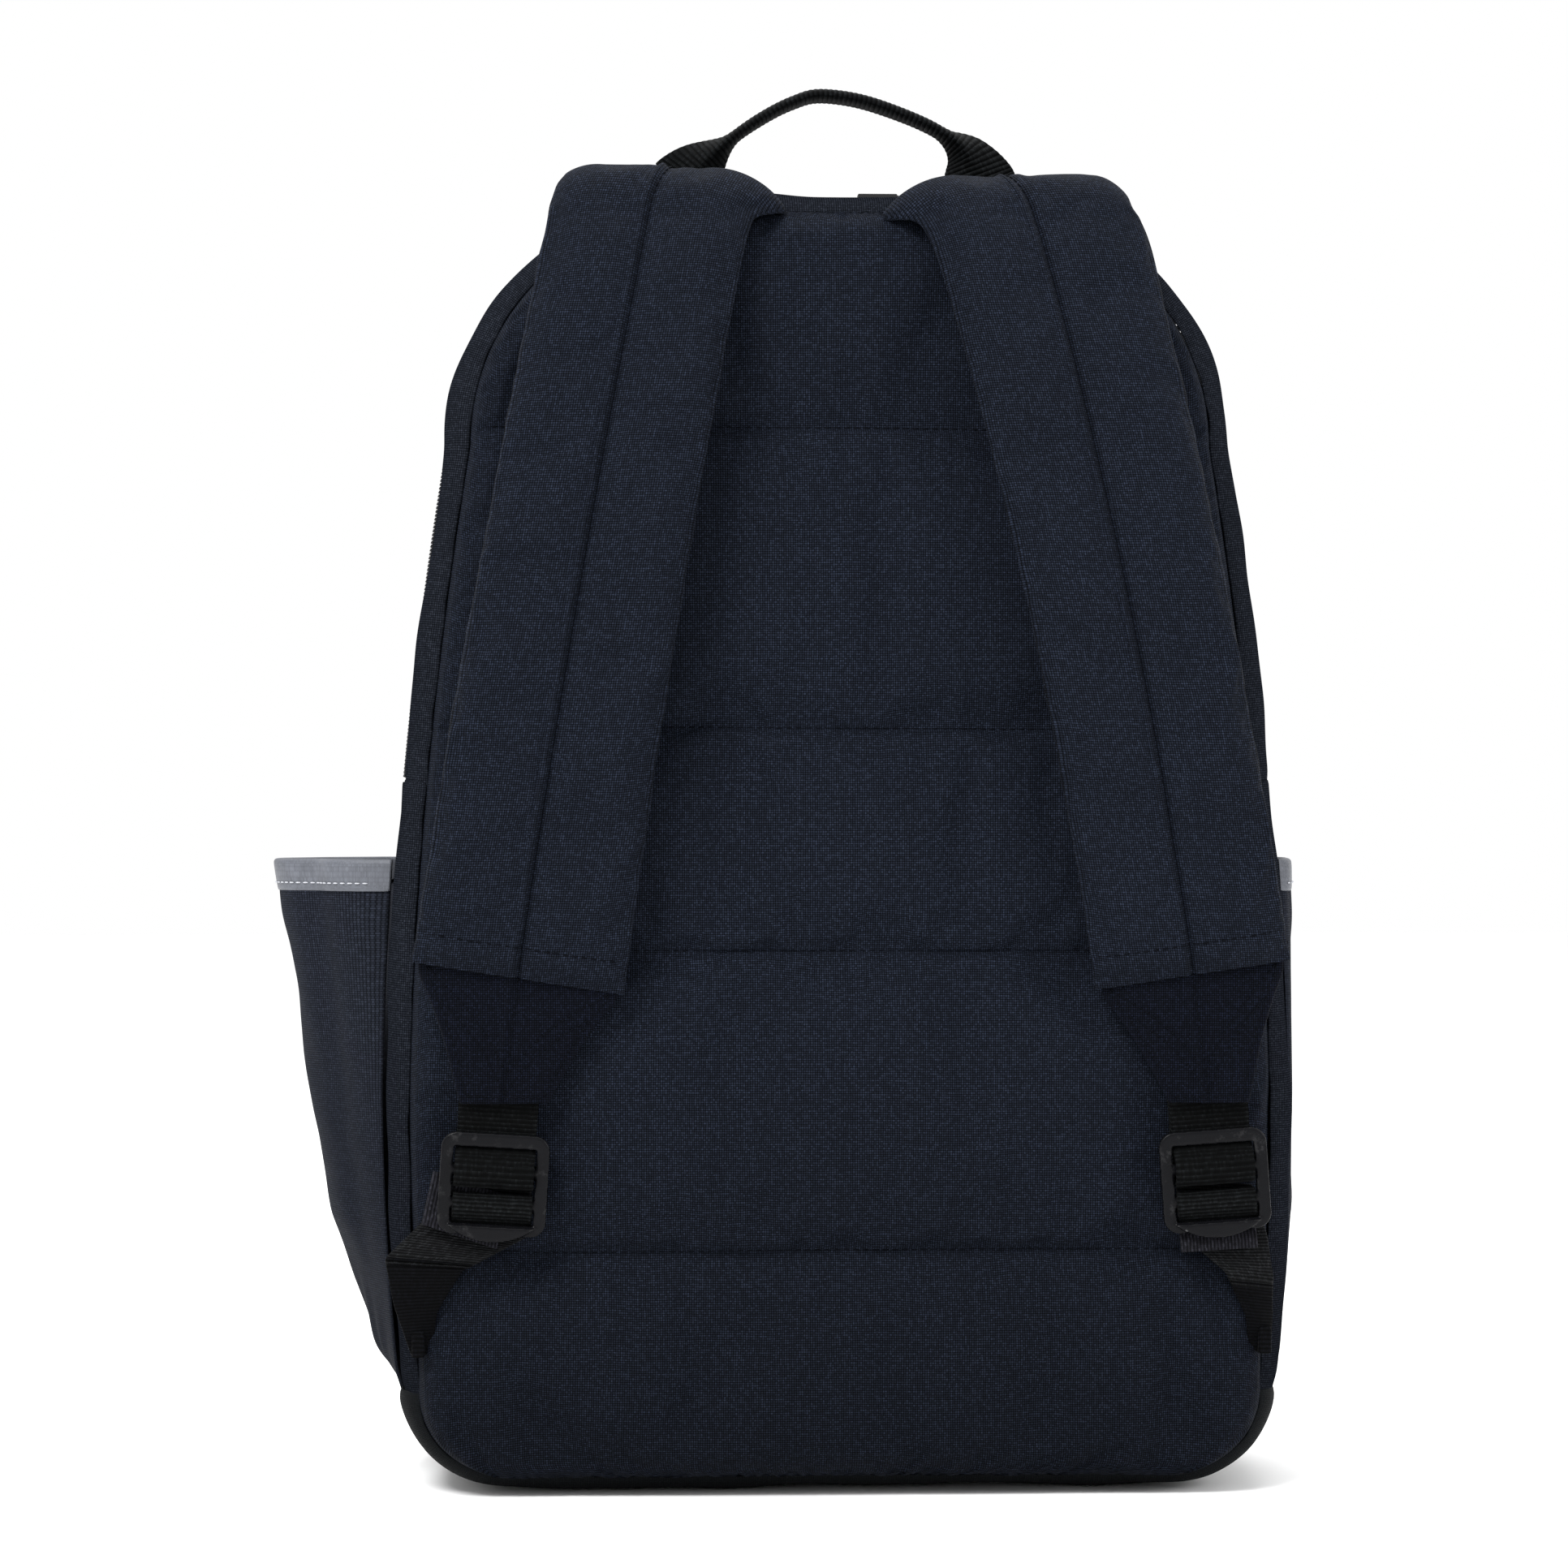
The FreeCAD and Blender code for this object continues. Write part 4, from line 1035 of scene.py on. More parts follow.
def wall_grid(s0, s1, y0, y1, rows, cols):
    """Grid of lengths round the outline and depths. The depths may differ from row to row."""
    s = np.linspace(s0, s1, rows)[:, None]
    y0, y1 = (np.broadcast_to(np.asarray(y, float), rows)[:, None] for y in (y0, y1))
    y = y0 + (y1 - y0) * np.linspace(0, 1, cols)[None]
    return np.broadcast_arrays(s, y)


def wall_wrinkles(s, y, y0, y1, seed, size=1.0):
    """Soft folds of an unpadded wall, flat at its sewn edges, with small puckers beside them."""
    inner = ease(y, y0, y0 + 9 * MM) * (1 - ease(y, y1 - 9 * MM, y1))
    folds = smooth_noise(s, y, 42 * MM, seed) + 0.5 * smooth_noise(s + 0.4 * y, y, 19 * MM, seed + 1)
    sag = -0.9 * MM * inner
    near = np.exp(-abs(y - y0) / (7 * MM)) + np.exp(-abs(y - y1) / (7 * MM))
    puckers = smooth_noise(s, y * 0.3, 7 * MM, seed + 2) * near * 0.35 * MM
    return size * (folds * 1.2 * MM * inner + sag + puckers)


def wall_piece(name, s_range, y0, y1, material, body, node, tuck=()):
    """Part of the bag's wall between two lengths round the outline, up to a depth y1 or the front seam."""
    rows = max(6, int((s_range[1] - s_range[0]) / WALL_STEP))
    end = front_edge(np.linspace(*s_range, rows)) if y1 is None else np.full(rows, y1)
    cols = max(6, int((end.max() - y0) / WALL_STEP))
    s, y = wall_grid(*s_range, y0, end, rows, cols)
    lift = wall_wrinkles(s, y, y0, end[:, None], WALL_SEED)
    height = BAG.at(s)[0][..., 1]
    for edge in tuck:
        lift = lift - 1.0 * MM * ease(abs(s - edge), 4.5 * MM, 2.0 * MM)
    lift = lift - 1.3 * MM * np.exp(-abs(height - BASE_TOP_Z) / (1.6 * MM))
    points = wall_points(s, y, lift)
    cloth_piece(name, points, np.stack([s, y], -1), (material, "lining"), body,
                (node,))


def arch_ends(z):
    """Lengths round the outline of the arch above a height."""
    return BAG.s_at(z, "right"), BAG.s_at(z, "left")


def front_edge(s):
    """Depth of the front seam at a length round the outline."""
    return front_y(BAG.at(s)[0][..., 1])


def walls():
    """Gussets, sides and base."""
    arch = arch_ends(HINGE_Z)
    under = (arch[0] - TUCK, arch[1] + TUCK)
    wall_piece("rear_gusset_cloth", under, BACK_SEAM_Y, REAR_ZIP_EDGE_Y, "gusset", "bag",
               "rear_gusset", tuck=under)
    wall_piece("front_gusset_cloth", arch_ends(HINGE_Z + FOLD_GAP), FRONT_ZIP_EDGE_Y, None, "gusset",
               "upper_front", "front_gusset")
    for side in SIDES:
        low = BAG.s_at(BASE_TOP_Z - TUCK, side)
        wall_piece("side_wall_" + side, sorted((low, BAG.s_at(HINGE_Z, side))), BACK_SEAM_Y, None, "gusset",
                   "bag", "side_panel_" + side, tuck=(low,))
    reach = BAG.s_at(BASE_TOP_Z, "right")
    wall_piece("base_cloth", (-reach, reach), BACK_SEAM_Y, None, "base", "bag", "base_panel")


def front_inset(z):
    """Inset of the front seam at a height."""
    return np.interp(front_y(z), WALL_Y, WALL_INSET)


def front_panels():
    """Lower front panel, and the upper one that folds down with the zip."""
    spacing = 3.4 * MM
    spans = {"lower_front_cloth": (-1.0, HINGE_Z - FOLD_GAP, "bag", "lower_front_panel"),
             "upper_front_cloth": (HINGE_Z + FOLD_GAP, 1.0, "upper_front", "upper_front_panel")}
    for name, (z0, z1, body, node) in spans.items():
        rows = panel_rows(BAG, front_inset, z0, z1, spacing, (BASE_FLAT, TOP_FLAT))
        x, z = panel_grid(rows, int(2 * HALF_WIDE / spacing))
        edge = np.minimum(BAG.edge_distance(x, z, front_inset), 1.0)
        fold = abs(z - HINGE_Z)
        puff = 3.0 * MM * ease(edge, 0, 70 * MM) * ease(fold, 0, 60 * MM)
        puff = puff - 1.6 * MM * (1 - np.sqrt(1 - (1 - np.clip(edge / (5 * MM), 0, 1)) ** 2))
        folds = smooth_noise(x, z, 48 * MM, 41) * 1.3 + smooth_noise(x + z, z - x, 21 * MM, 42) * 0.5
        y = front_y(z) + puff + folds * MM * ease(edge, 0, 30 * MM) * ease(fold, 0, 25 * MM)
        points = np.stack([x, y, z], -1)[:, ::-1]
        cloth_piece(name, points, flat_uv(points), ("navy", "lining"), body,
                    (node,))
        if node == "upper_front_panel":
            seam_stitches("upper_front_stitches", points, body, HINGE_Z + 8 * MM)


def seam_stitches(name, points, body, above):
    """Row of stitches just inside the edge of a panel, above a height."""
    normals = grid_normals(points)
    lines = []
    for column in (1, -2):
        keep = points[:, column, 2] > above
        lines.append((points[keep, column], normals[keep, column]))
    lines.append((points[-2, 2:-2], normals[-2, 2:-2]))
    sew(name, lines, body, "stitch", 3.4 * MM)


# Section of the tape over the back seam, in mm inwards from the panel's edge and from the seam.
BINDING_PROFILE = ((1.8, 0.2), (1.8, 1.9), (2.4, 2.6), (5.6, 2.8), (6.2, 2.0), (6.2, 0.8))


def inner_parts():
    """Lining behind the back panel and the tape bound over its seam."""
    spacing = 5 * MM
    rows = panel_rows(BAG, seam_inset, 0.0, 1.0, spacing, (BASE_FLAT, TOP_FLAT), CHANNELS_Z)
    x, z = panel_grid(rows, 56)
    x, z = x * 0.988, PANEL_INSET + (z - PANEL_INSET) * 0.988 + 2.2 * MM
    edge = BAG.edge_distance(x, z, seam_inset)
    puff = 1.6 * MM * ease(edge, 0, 25 * MM)
    for level in CHANNELS_Z:
        puff = puff * (1 - bump(z, level, 7 * MM))
    folds = smooth_noise(x, z, 40 * MM, 45) * 0.5 * MM * ease(edge, 0, 20 * MM)
    points = np.stack([x, BACK_SEAM_Y - 0.8 * MM + puff + folds, z], -1)[:, ::-1]
    cloth_piece("back_lining_cloth", points, flat_uv(points), ("lining",), "bag",
                ("back_panel_lining",), thickness=0.8 * MM)
    s = np.linspace(0, BAG.length, 420)[:, None]
    inset, depth = (np.array(BINDING_PROFILE) * MM + (PANEL_INSET, BACK_SEAM_Y)).T[:, None]
    point, normal = BAG.at(s[:, 0])
    wave = 0.3 * MM * smooth_noise(s, 0.0, 12 * MM, 46)
    flat = point[:, None] - normal[:, None] * (inset + wave)[..., None]
    points = np.stack([flat[..., 0], np.broadcast_to(depth, flat.shape[:2]), flat[..., 1]], -1)
    uv = stacked(s, inset + depth)
    cloth_piece("back_seam_tape", points[:, ::-1], uv, ("zip_tape",), "bag",
                ("back_seam_binding",), thickness=0.5 * MM, level=0)


# ---- Zips ----

ZIP_DROP = 1.0 * MM      # how far the tapes lie below the walls
TOOTH_RISE = 0.1 * MM     # how far the middle of a tooth lies above the walls
TOOTH_PITCH = 1.3 * MM
TOOTH_RADIUS = 0.85 * MM
TOOTH_SQUEEZE = 0.56      # width of a tooth as a share of its height
TOOTH_SINK = 0.35 * MM    # how far a tooth's ends bend down
INTERLOCK = 0.9 * MM     # how far the teeth reach past the edge of their own side
HIDDEN_DROP = 2.0 * MM   # how far the tape dips where the cloth covers it


def zip_half(name, outline_points, s_range, tooth_y, y_far, body, nodes, phase):
    """One side of a zip: its tape, its stitches and its coil. The tape runs from the coil to y_far."""
    y_near = max(tooth_y) if y_far < min(tooth_y) else min(tooth_y)
    rows = int((s_range[1] - s_range[0]) / (3 * MM))
    s = np.linspace(*s_range, rows)[:, None]
    y = np.linspace(y_near, y_far, 8)[None]
    ripple = 0.25 * MM * smooth_noise(s, y, 16 * MM, 51)
    ripple = ripple - HIDDEN_DROP * ease(abs(y - y_near), COIL_WIDTH + 9.2 * MM, COIL_WIDTH + 12 * MM)
    points = outline_points(*np.broadcast_arrays(s, y), ripple - ZIP_DROP)
    uv = stacked(s, y)
    flip = slice(None) if y_far > y_near else slice(None, None, -1)
    cloth_piece(name + "_tape_cloth", points[:, flip], uv[:, flip], ("zip_tape",), body,
                nodes[:1], thickness=0.7 * MM, level=0)
    at = np.arange(s_range[0] + phase * TOOTH_PITCH, s_range[1], TOOTH_PITCH)
    inwards = math.copysign(INTERLOCK, y_near - y_far)
    mid = np.full(len(at), (tooth_y[0] + tooth_y[1] + inwards) / 2)
    half = (tooth_y[1] - tooth_y[0] + INTERLOCK) / 2
    ends = [outline_points(at + shift, mid + step, TOOTH_RISE) for shift, step in
            ((0.12 * MM, -half), (-0.12 * MM, half))]
    normals = unit(outline_points(at, mid, 2 * MM) - outline_points(at, mid, 0.0))
    centres = (ends[0] + ends[1]) / 2
    mesh = rods(name + "_teeth", centres, ends[1] - ends[0], normals, 2 * half, TOOTH_RADIUS, TOOTH_SQUEEZE,
                TOOTH_SINK)
    declare(new_object(name + "_teeth", mesh, MATERIALS["coil"]), body, nodes[1:])
    lines = []
    for inset in (COIL_WIDTH + 1.2 * MM, COIL_WIDTH + 6.4 * MM):
        row = y_near + math.copysign(inset, y_far - y_near)
        line = outline_points(s[:, 0], np.full(rows, row), 0.3 * MM - ZIP_DROP)
        lines.append((line, outline_normals(outline_points, s[:, 0], row)))
    sew(name + "_tape_stitches", lines, body, "stitch", 2.6 * MM, 0.68, 0.2 * MM)


def outline_normals(outline_points, s, y):
    """Outward normals along a line at one depth."""
    flat = np.full(len(s), y)
    return unit(outline_points(s, flat, 3 * MM) - outline_points(s, flat, 0.0))


def main_zip():
    """Both halves of the main zip."""
    arch = arch_ends(LOOP_START_Z)
    zip_half("main_zip_rear", wall_points, arch, COIL_REAR_Y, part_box("main_zip_tape_rear")[0].y, "bag",
             ("main_zip_tape_rear", "main_zip_coil_rear"), 0.0)
    zip_half("main_zip_front", wall_points, arch, COIL_FRONT_Y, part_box("main_zip_tape_front")[1].y,
             "upper_front", ("main_zip_tape_front", "main_zip_coil_front"), 0.5)


# ---- Front pocket, drawn upright and then leaned against the front panel ----

LEAN = math.atan2(FRONT_LOW_Y - FRONT_HINGE_Y, HINGE_Z)
POCKET_LOW = 28 * MM
POCKET_TOP = 200 * MM
POCKET_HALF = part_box("front_pocket_lower")[1].x
POCKET_HALF_TOP = POCKET_HALF - 4 * MM
POCKET_RADIUS = 28 * MM
POCKET_DEPTH = 26 * MM
POCKET_ZIP_Y = FRONT_LOW_Y + POCKET_DEPTH / 2
POCKET_HINGE = 60 * MM
POCKET_FACE_Y = FRONT_LOW_Y + POCKET_DEPTH


def pocket_half_line():
    """Right half of the front pocket's outline."""
    half, r = math.sqrt(0.5), POCKET_RADIUS
    low, top = (POCKET_HALF - r, POCKET_LOW + r), (POCKET_HALF_TOP - r, POCKET_TOP - r)
    low_mid, top_mid = (low[0] + r * half, low[1] - r * half), (top[0] + r * half, top[1] + r * half)
    lines = [np.array([(0, POCKET_LOW), (low[0] / 2, POCKET_LOW)]),
             arc_points((low[0], POCKET_LOW), low_mid, (POCKET_HALF, low[1]), 30),
             arc_points((POCKET_HALF_TOP, top[1]), top_mid, (top[0], POCKET_TOP), 30),
             np.array([(top[0] / 2, POCKET_TOP), (0, POCKET_TOP)])]
    return resample(np.vstack(lines), 500)


POCKET = Outline(pocket_half_line())


def lean(points):
    """Leans points drawn upright against the sloping front panel."""
    x, y, z = points[..., 0], points[..., 1] - FRONT_LOW_Y, points[..., 2]
    c, s = math.cos(LEAN), math.sin(LEAN)
    return np.stack([x, c * y - s * z + FRONT_LOW_Y, s * y + c * z], -1)


def pocket_points(s, y, lift=0.0):
    """Points on the front pocket's gusset. Its front and back edges are softly rounded."""
    s, y, lift = np.broadcast_arrays(s, y, lift)
    point, normal = POCKET.at(s)
    near = np.clip((POCKET_FACE_Y - y) / (5 * MM), 0, 1)
    inset = 3.0 * MM * (1 - np.sqrt(1 - (1 - near) ** 2)) - lift
    flat = point - normal * inset[..., None]
    return lean(np.stack([flat[..., 0], y, flat[..., 1]], -1))


def pocket_wall(name, s_range, y0, y1, seed, body, nodes):
    """Part of the front pocket's gusset."""
    rows, cols = int((s_range[1] - s_range[0]) / (3 * MM)), max(4, int((y1 - y0) / (2.2 * MM)))
    s, y = wall_grid(*s_range, y0, y1, rows, cols)
    lift = wall_wrinkles(s, y, y0 - 4 * MM, y1 + 4 * MM, seed, 0.45)
    points = pocket_points(s, y, lift)
    cloth_piece(name, points, np.stack([s, y], -1), ("navy_pocket", "lining"),
                body, nodes, thickness=1.2 * MM)


def pocket_face(name, z0, z1, body, nodes):
    """Part of the front pocket's panel between two heights."""
    inset = 3.0 * MM
    flats = (POCKET_HALF - POCKET_RADIUS, POCKET_HALF_TOP - POCKET_RADIUS)
    rows = panel_rows(POCKET, inset, z0, z1, 3 * MM, flats)
    x, z = panel_grid(rows, 80)
    edge = POCKET.edge_distance(x, z, inset)
    fold = ease(abs(z - POCKET_HINGE), 0, 22 * MM)
    puff = 5.0 * MM * ease(edge, -6 * MM, 60 * MM) * (0.5 + 0.5 * fold) - 0.8 * MM
    folds = smooth_noise(x, z, 38 * MM, 61) * 1.2 + smooth_noise(x + z, x - z, 17 * MM, 62) * 0.4
    y = POCKET_FACE_Y + puff + folds * MM * ease(edge, 0, 20 * MM) * fold
    points = np.stack([x, y, z], -1)[:, ::-1]
    leaned = lean(points)
    cloth_piece(name, leaned, flat_uv(points), ("navy_pocket", "lining"), body,
                nodes, thickness=1.2 * MM)
    return leaned


def front_pocket():
    """Front pocket: lower part, gussets, panel and zip."""
    start = POCKET_HINGE + FOLD_GAP
    edge = COIL_GAP + COIL_WIDTH
    tape = edge + 5 * MM
    arch = (POCKET.s_at(start, "right"), POCKET.s_at(start, "left"))
    reach = POCKET.s_at(POCKET_HINGE, "right")
    pocket_wall("pocket_lower_wall", (-reach, reach), FRONT_LOW_Y, POCKET_FACE_Y, 63, "bag",
                ("front_pocket_lower",))
    pocket_face("pocket_lower_face", 0.0, POCKET_HINGE, "bag", ())
    pocket_wall("pocket_rear_gusset", arch, FRONT_LOW_Y, POCKET_ZIP_Y - tape, 65, "bag",
                ("front_pocket_gusset_rear",))
    pocket_wall("pocket_front_gusset", arch, POCKET_ZIP_Y + tape, POCKET_FACE_Y, 67, "front_pocket_flap",
                ("front_pocket_gusset_front",))
    face = pocket_face("pocket_panel_cloth", start, 1.0, "front_pocket_flap", ("front_pocket_panel",))
    seam_stitches("pocket_panel_stitches", face, "front_pocket_flap", 0.0)
    zip_half("pocket_zip_rear", pocket_points, arch, (POCKET_ZIP_Y - edge, POCKET_ZIP_Y - COIL_GAP),
             FRONT_LOW_Y + 1 * MM, "bag", ("front_pocket_tape_rear", "front_pocket_coil_rear"), 0.0)
    zip_half("pocket_zip_front", pocket_points, arch, (POCKET_ZIP_Y + COIL_GAP, POCKET_ZIP_Y + edge),
             POCKET_FACE_Y - 1.3 * MM, "front_pocket_flap",
             ("front_pocket_tape_front", "front_pocket_coil_front"), 0.5)


# ---- Side pockets ----

SIDE_POCKET_Y = (-50 * MM, 18 * MM)
SIDE_POCKET_Z = (30 * MM, 54 * MM, 86 * MM, 128 * MM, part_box("side_pocket_left")[1].z)
SIDE_POCKET_REACH = {"left": (146, 154, 164.5, 172, 184), "right": (145, 147.5, 150.5, 152, 151.5)}
POCKET_COLS = 44
# Section of the tape round a side pocket's mouth, in mm outwards and upwards from the mouth.
TAPE_PROFILE = ((-2.2, -8.5), (-2.2, -1.2), (-2.0, -0.1), (-1.2, 0.6), (0.1, 0.5),
                (0.8, -0.2), (1.0, -1.2), (1.0, -6), (0.95, -9.6), (0.7, -10))


def pocket_row(side, z, t, lift):
    """Points across a side pocket at shares t from its back edge to its front edge."""
    wall = BAG.half_width(z) + 0.4 * MM
    reach = np.interp(z, SIDE_POCKET_Z, np.array(SIDE_POCKET_REACH[side]) * MM)
    crown = (np.maximum(reach, wall + 1.8 * MM) - wall) * ease(z, 30 * MM, 44 * MM)
    wall = wall - 1.6 * MM * (1 - ease(z, 30 * MM, 38 * MM))
    lift = lift * ease(z, 30 * MM, 46 * MM)
    back, front = SIDE_POCKET_Y
    if side == "left":
        open_share = ease(z, 40 * MM, SIDE_POCKET_Z[-1])
        shape = np.sin(math.pi * t) ** (1 - 0.35 * open_share)
    else:
        shape = np.sin(math.pi * t) ** 0.45
    y = back + (front - back) * t
    x = wall + crown * shape + lift * np.minimum(1, 6 * np.sin(math.pi * t))
    y = y + lift * np.cos(math.pi * t) * (-0.8)
    return stacked(SIDES[side] * x, y, z)


def side_pocket(side, seed):
    """Gathered side pocket with the reflective tape bound round its mouth."""
    top = SIDE_POCKET_Z[-1]
    z, t = np.meshgrid(np.linspace(SIDE_POCKET_Z[0], top, 60), np.linspace(0, 1, POCKET_COLS), indexing="ij")
    gape = 1.0 if side == "left" else 0.35
    height = ease(z, SIDE_POCKET_Z[0], top)
    fold = -3.2 * MM * gape * bump(t, 0.16 + 0.05 * height, 0.06) * height
    fold = fold - 1.6 * MM * gape * bump(t, 0.83 - 0.1 * height, 0.07) * height
    u = t * 80 * MM
    folds = smooth_noise(u, z, 23 * MM, seed) * 1.5 + smooth_noise(u, z, 11 * MM, seed + 1) * 0.5
    gathers = np.sin(t * 44 + 3 * smooth_noise(t * 70 * MM, z, 20 * MM, seed + 2))
    gathers = gathers * (1 - ease(z, 36 * MM, 78 * MM))
    lift = fold + (folds + gathers * 0.9) * MM * np.sin(math.pi * t)
    points = pocket_row(side, z, t, lift)
    flip = slice(None) if side == "right" else slice(None, None, -1)
    uv = np.stack([t * 84 * MM, z], -1)
    cloth_piece("side_pocket_cloth_" + side, points[:, flip], uv[:, flip],
                ("navy_pocket", "lining"), "bag",
                ("side_pocket_" + side,), thickness=1.1 * MM)
    profile = np.array(TAPE_PROFILE) * MM
    rows = [pocket_row(side, top + dz, t[0], lift[-1] + out) for out, dz in profile]
    band = np.stack(rows)[::-1]
    uv = np.stack(np.meshgrid(lengths(band[3]), lengths(profile)), -1)
    cloth_piece("reflective_tape_" + side, band[:, flip], uv, ("reflective",), "bag",
                ("reflective_binding_" + side,), thickness=0.35 * MM)
    line = pocket_row(side, top - 7.3 * MM, t[0], lift[-1] + 1.25 * MM)
    outward = stacked(SIDES[side], np.cos(math.pi * t[0]) * -0.8, 0.0)
    sew("reflective_stitches_" + side, [(line[1:-1], outward[1:-1])], "bag",
        "white_stitch", 2.7 * MM, 0.66, 0.24 * MM)


# ---- Ribbons and buckles at the strap ends ----

WEBBING_HALF = 12.5 * MM
WEB_THICK = 1.5 * MM
HEM_THICK = 1.4 * MM
RIB = 1.45 * MM
RIB_DEPTH = 0.2 * MM
# Side views of the webbing round the buckle's two bars, as (y, z) in the buckle's frame.
STRAP_LOOP = ((3.6, 29), (3.5, 22), (3.0, 16), (2.2, 12.8), (-0.4, 10.0), (-2.9, 7.2), (-3.5, 4.6),
              (-2.2, 2.0), (0.4, 1.2), (2.8, 2.3), (4.2, 5.0), (5.4, 9.5), (5.9, 15), (5.4, 21), (5.0, 28))
TAIL_LOOP = ((2.4, -15.4), (2.0, -13.6), (-0.3, -11.4), (-2.9, -8.6), (-3.5, -5.8),
             (-2.3, -3.0), (0.3, -2.0), (2.7, -3.2), (4.2, -5.8), (5.0, -8.5))
SWING_BAR_Z = 5.0 * MM


def lock_frame(side):
    """Origin and axes of a ladder lock, from the joint that it swings on."""
    joint = JOINTS["ladder_lock_" + side + "_tilt"]
    across = -np.array(joint["axis"], float)
    up = np.array((-across[2], 0, across[0]))
    origin = np.array(joint["pos_m"]) - up * SWING_BAR_Z
    return origin, across, up


def in_lock(side, x, y, z):
    """Points given in a ladder lock's frame, placed on the bag."""
    origin, across, up = lock_frame(side)
    x, y, z = (a[..., None] for a in np.broadcast_arrays(x, y, z))
    return origin + across * x + np.array((0, 1, 0)) * y + up * z


def ribbon(name, side, path, body, nodes, seed):
    """Webbing that follows a path of (y, z) through a ladder lock, with ribs across it."""
    line = spline(np.array(path) * MM, 40)
    length = lengths(line)[-1]
    line = resample(spline(np.array(path) * MM, 160), max(20, int(length / (0.24 * MM))))
    along = lengths(line)
    tangent = unit(np.gradient(line, axis=0))
    normal = np.stack([-tangent[:, 1], tangent[:, 0]], 1)
    share = np.linspace(-1, 1, 22)[None]
    ribs = RIB_DEPTH * abs(np.sin(along * math.pi / RIB))[:, None]
    soft = smooth_noise(share * WEBBING_HALF, along[:, None], 9 * MM, seed) * 0.12 * MM
    rise = (ribs + soft) * (1 - share ** 12)
    wave = 0.072 * MM * np.sin(along * 2 * math.pi / RIB)[:, None]
    points = in_lock(side, share * (WEBBING_HALF + wave), line[:, :1] - normal[:, :1] * rise,
                     line[:, 1:] - normal[:, 1:] * rise)
    uv = stacked(share * WEBBING_HALF, along[:, None])
    cloth_piece(name, points, uv, ("webbing",), body, nodes, thickness=WEB_THICK,
                level=0)


def buckle(side, seed):
    """Ladder lock with the two webbings that go through it."""
    lock = "ladder_lock_" + side
    rounded_copy(lock, "buckle_" + side, "plastic", lock, 0.34 * MM)
    ribbon("strap_loop_" + side, side, STRAP_LOOP, "bag", ("strap_end_webbing_" + side,), seed)
    ribbon("adjuster_loop_" + side, side, TAIL_LOOP, lock, ("adjuster_tail_" + side,), seed + 1)


def rounded_copy(node, name, material, body, voxel, passes=6):
    """Copy of a hard CAD part with its edges rounded off."""
    mesh = NODES[node].data.copy()
    mesh.name = name
    mesh.materials.clear()
    thing = new_object(name, mesh, MATERIALS[material])
    remesh = thing.modifiers.new("remesh", "REMESH")
    remesh.mode = "VOXEL"
    remesh.voxel_size = voxel
    remesh.use_smooth_shade = True
    relax = thing.modifiers.new("relax", "CORRECTIVE_SMOOTH")
    relax.iterations = passes
    relax.use_only_smooth = True
    graph = bpy.context.evaluated_depsgraph_get()
    made = bpy.data.meshes.new_from_object(thing.evaluated_get(graph))
    thing.modifiers.clear()
    thing.data = made
    made.polygons.foreach_set("use_smooth", np.ones(len(made.polygons), bool))
    return declare(thing, body, (node,))


def ruled(first, second, rows, cols):
    """Grid between two smooth lines."""
    a, b = (resample(np.array(line) * MM, rows) for line in (first, second))
    t = np.linspace(0, 1, cols)[None, :, None]
    soft = np.array((1, 2, 3, 2, 1)) / 9
    for line in (a, b):
        for k in range(3):
            line[2:-2, k] = np.convolve(line[:, k], soft, "valid")
    return a[:, None] * (1 - t) + b[:, None] * t


# Edges of the lower webbing from each buckle to the side seam: its outer edge, then its inner edge.
ADJUSTER_EDGES = {
    "left": (((-124.2, -84.8, 101.0), (-132.0, -85.6, 91.0), (-146.0, -86.4, 77.5), (-143.2, -85.6, 63.0),
              (-137.6, -81.0, 46.0)),
             ((-99.2, -84.8, 99.4), (-100.6, -85.2, 84.0), (-121.0, -86.6, 73.6), (-129.5, -84.6, 60.0),
              (-131.0, -78.4, 46.0))),
    "right": (((131.0, -84.8, 100.0), (135.6, -85.4, 84.0), (137.6, -85.0, 70.0), (137.8, -82.0, 57.0),
               (137.4, -79.0, 46.0)),
              ((106.0, -84.8, 101.6), (108.0, -85.6, 84.0), (122.0, -86.6, 72.0), (129.0, -84.4, 58.0),
               (131.2, -79.0, 46.0))),
}
# Corners of the webbing's hemmed end in the buckle's frame: low left, low right, high left, high right.
TAIL_CORNERS = {
    "left": ((-22.0, -13.0), (2.4, -19.6), (-19.4, 4.0), (5.0, -2.6)),
    "right": ((-12.4, -21.4), (12.4, -21.6), (-12.4, -3.0), (12.4, -3.0)),
}
FOLD_AT = {"left": 0.50, "right": 0.62}   # where each lower webbing folds, as a share of its length
FOLD_RISE = 2.4 * MM
FOLD_TUCK = 1.2 * MM


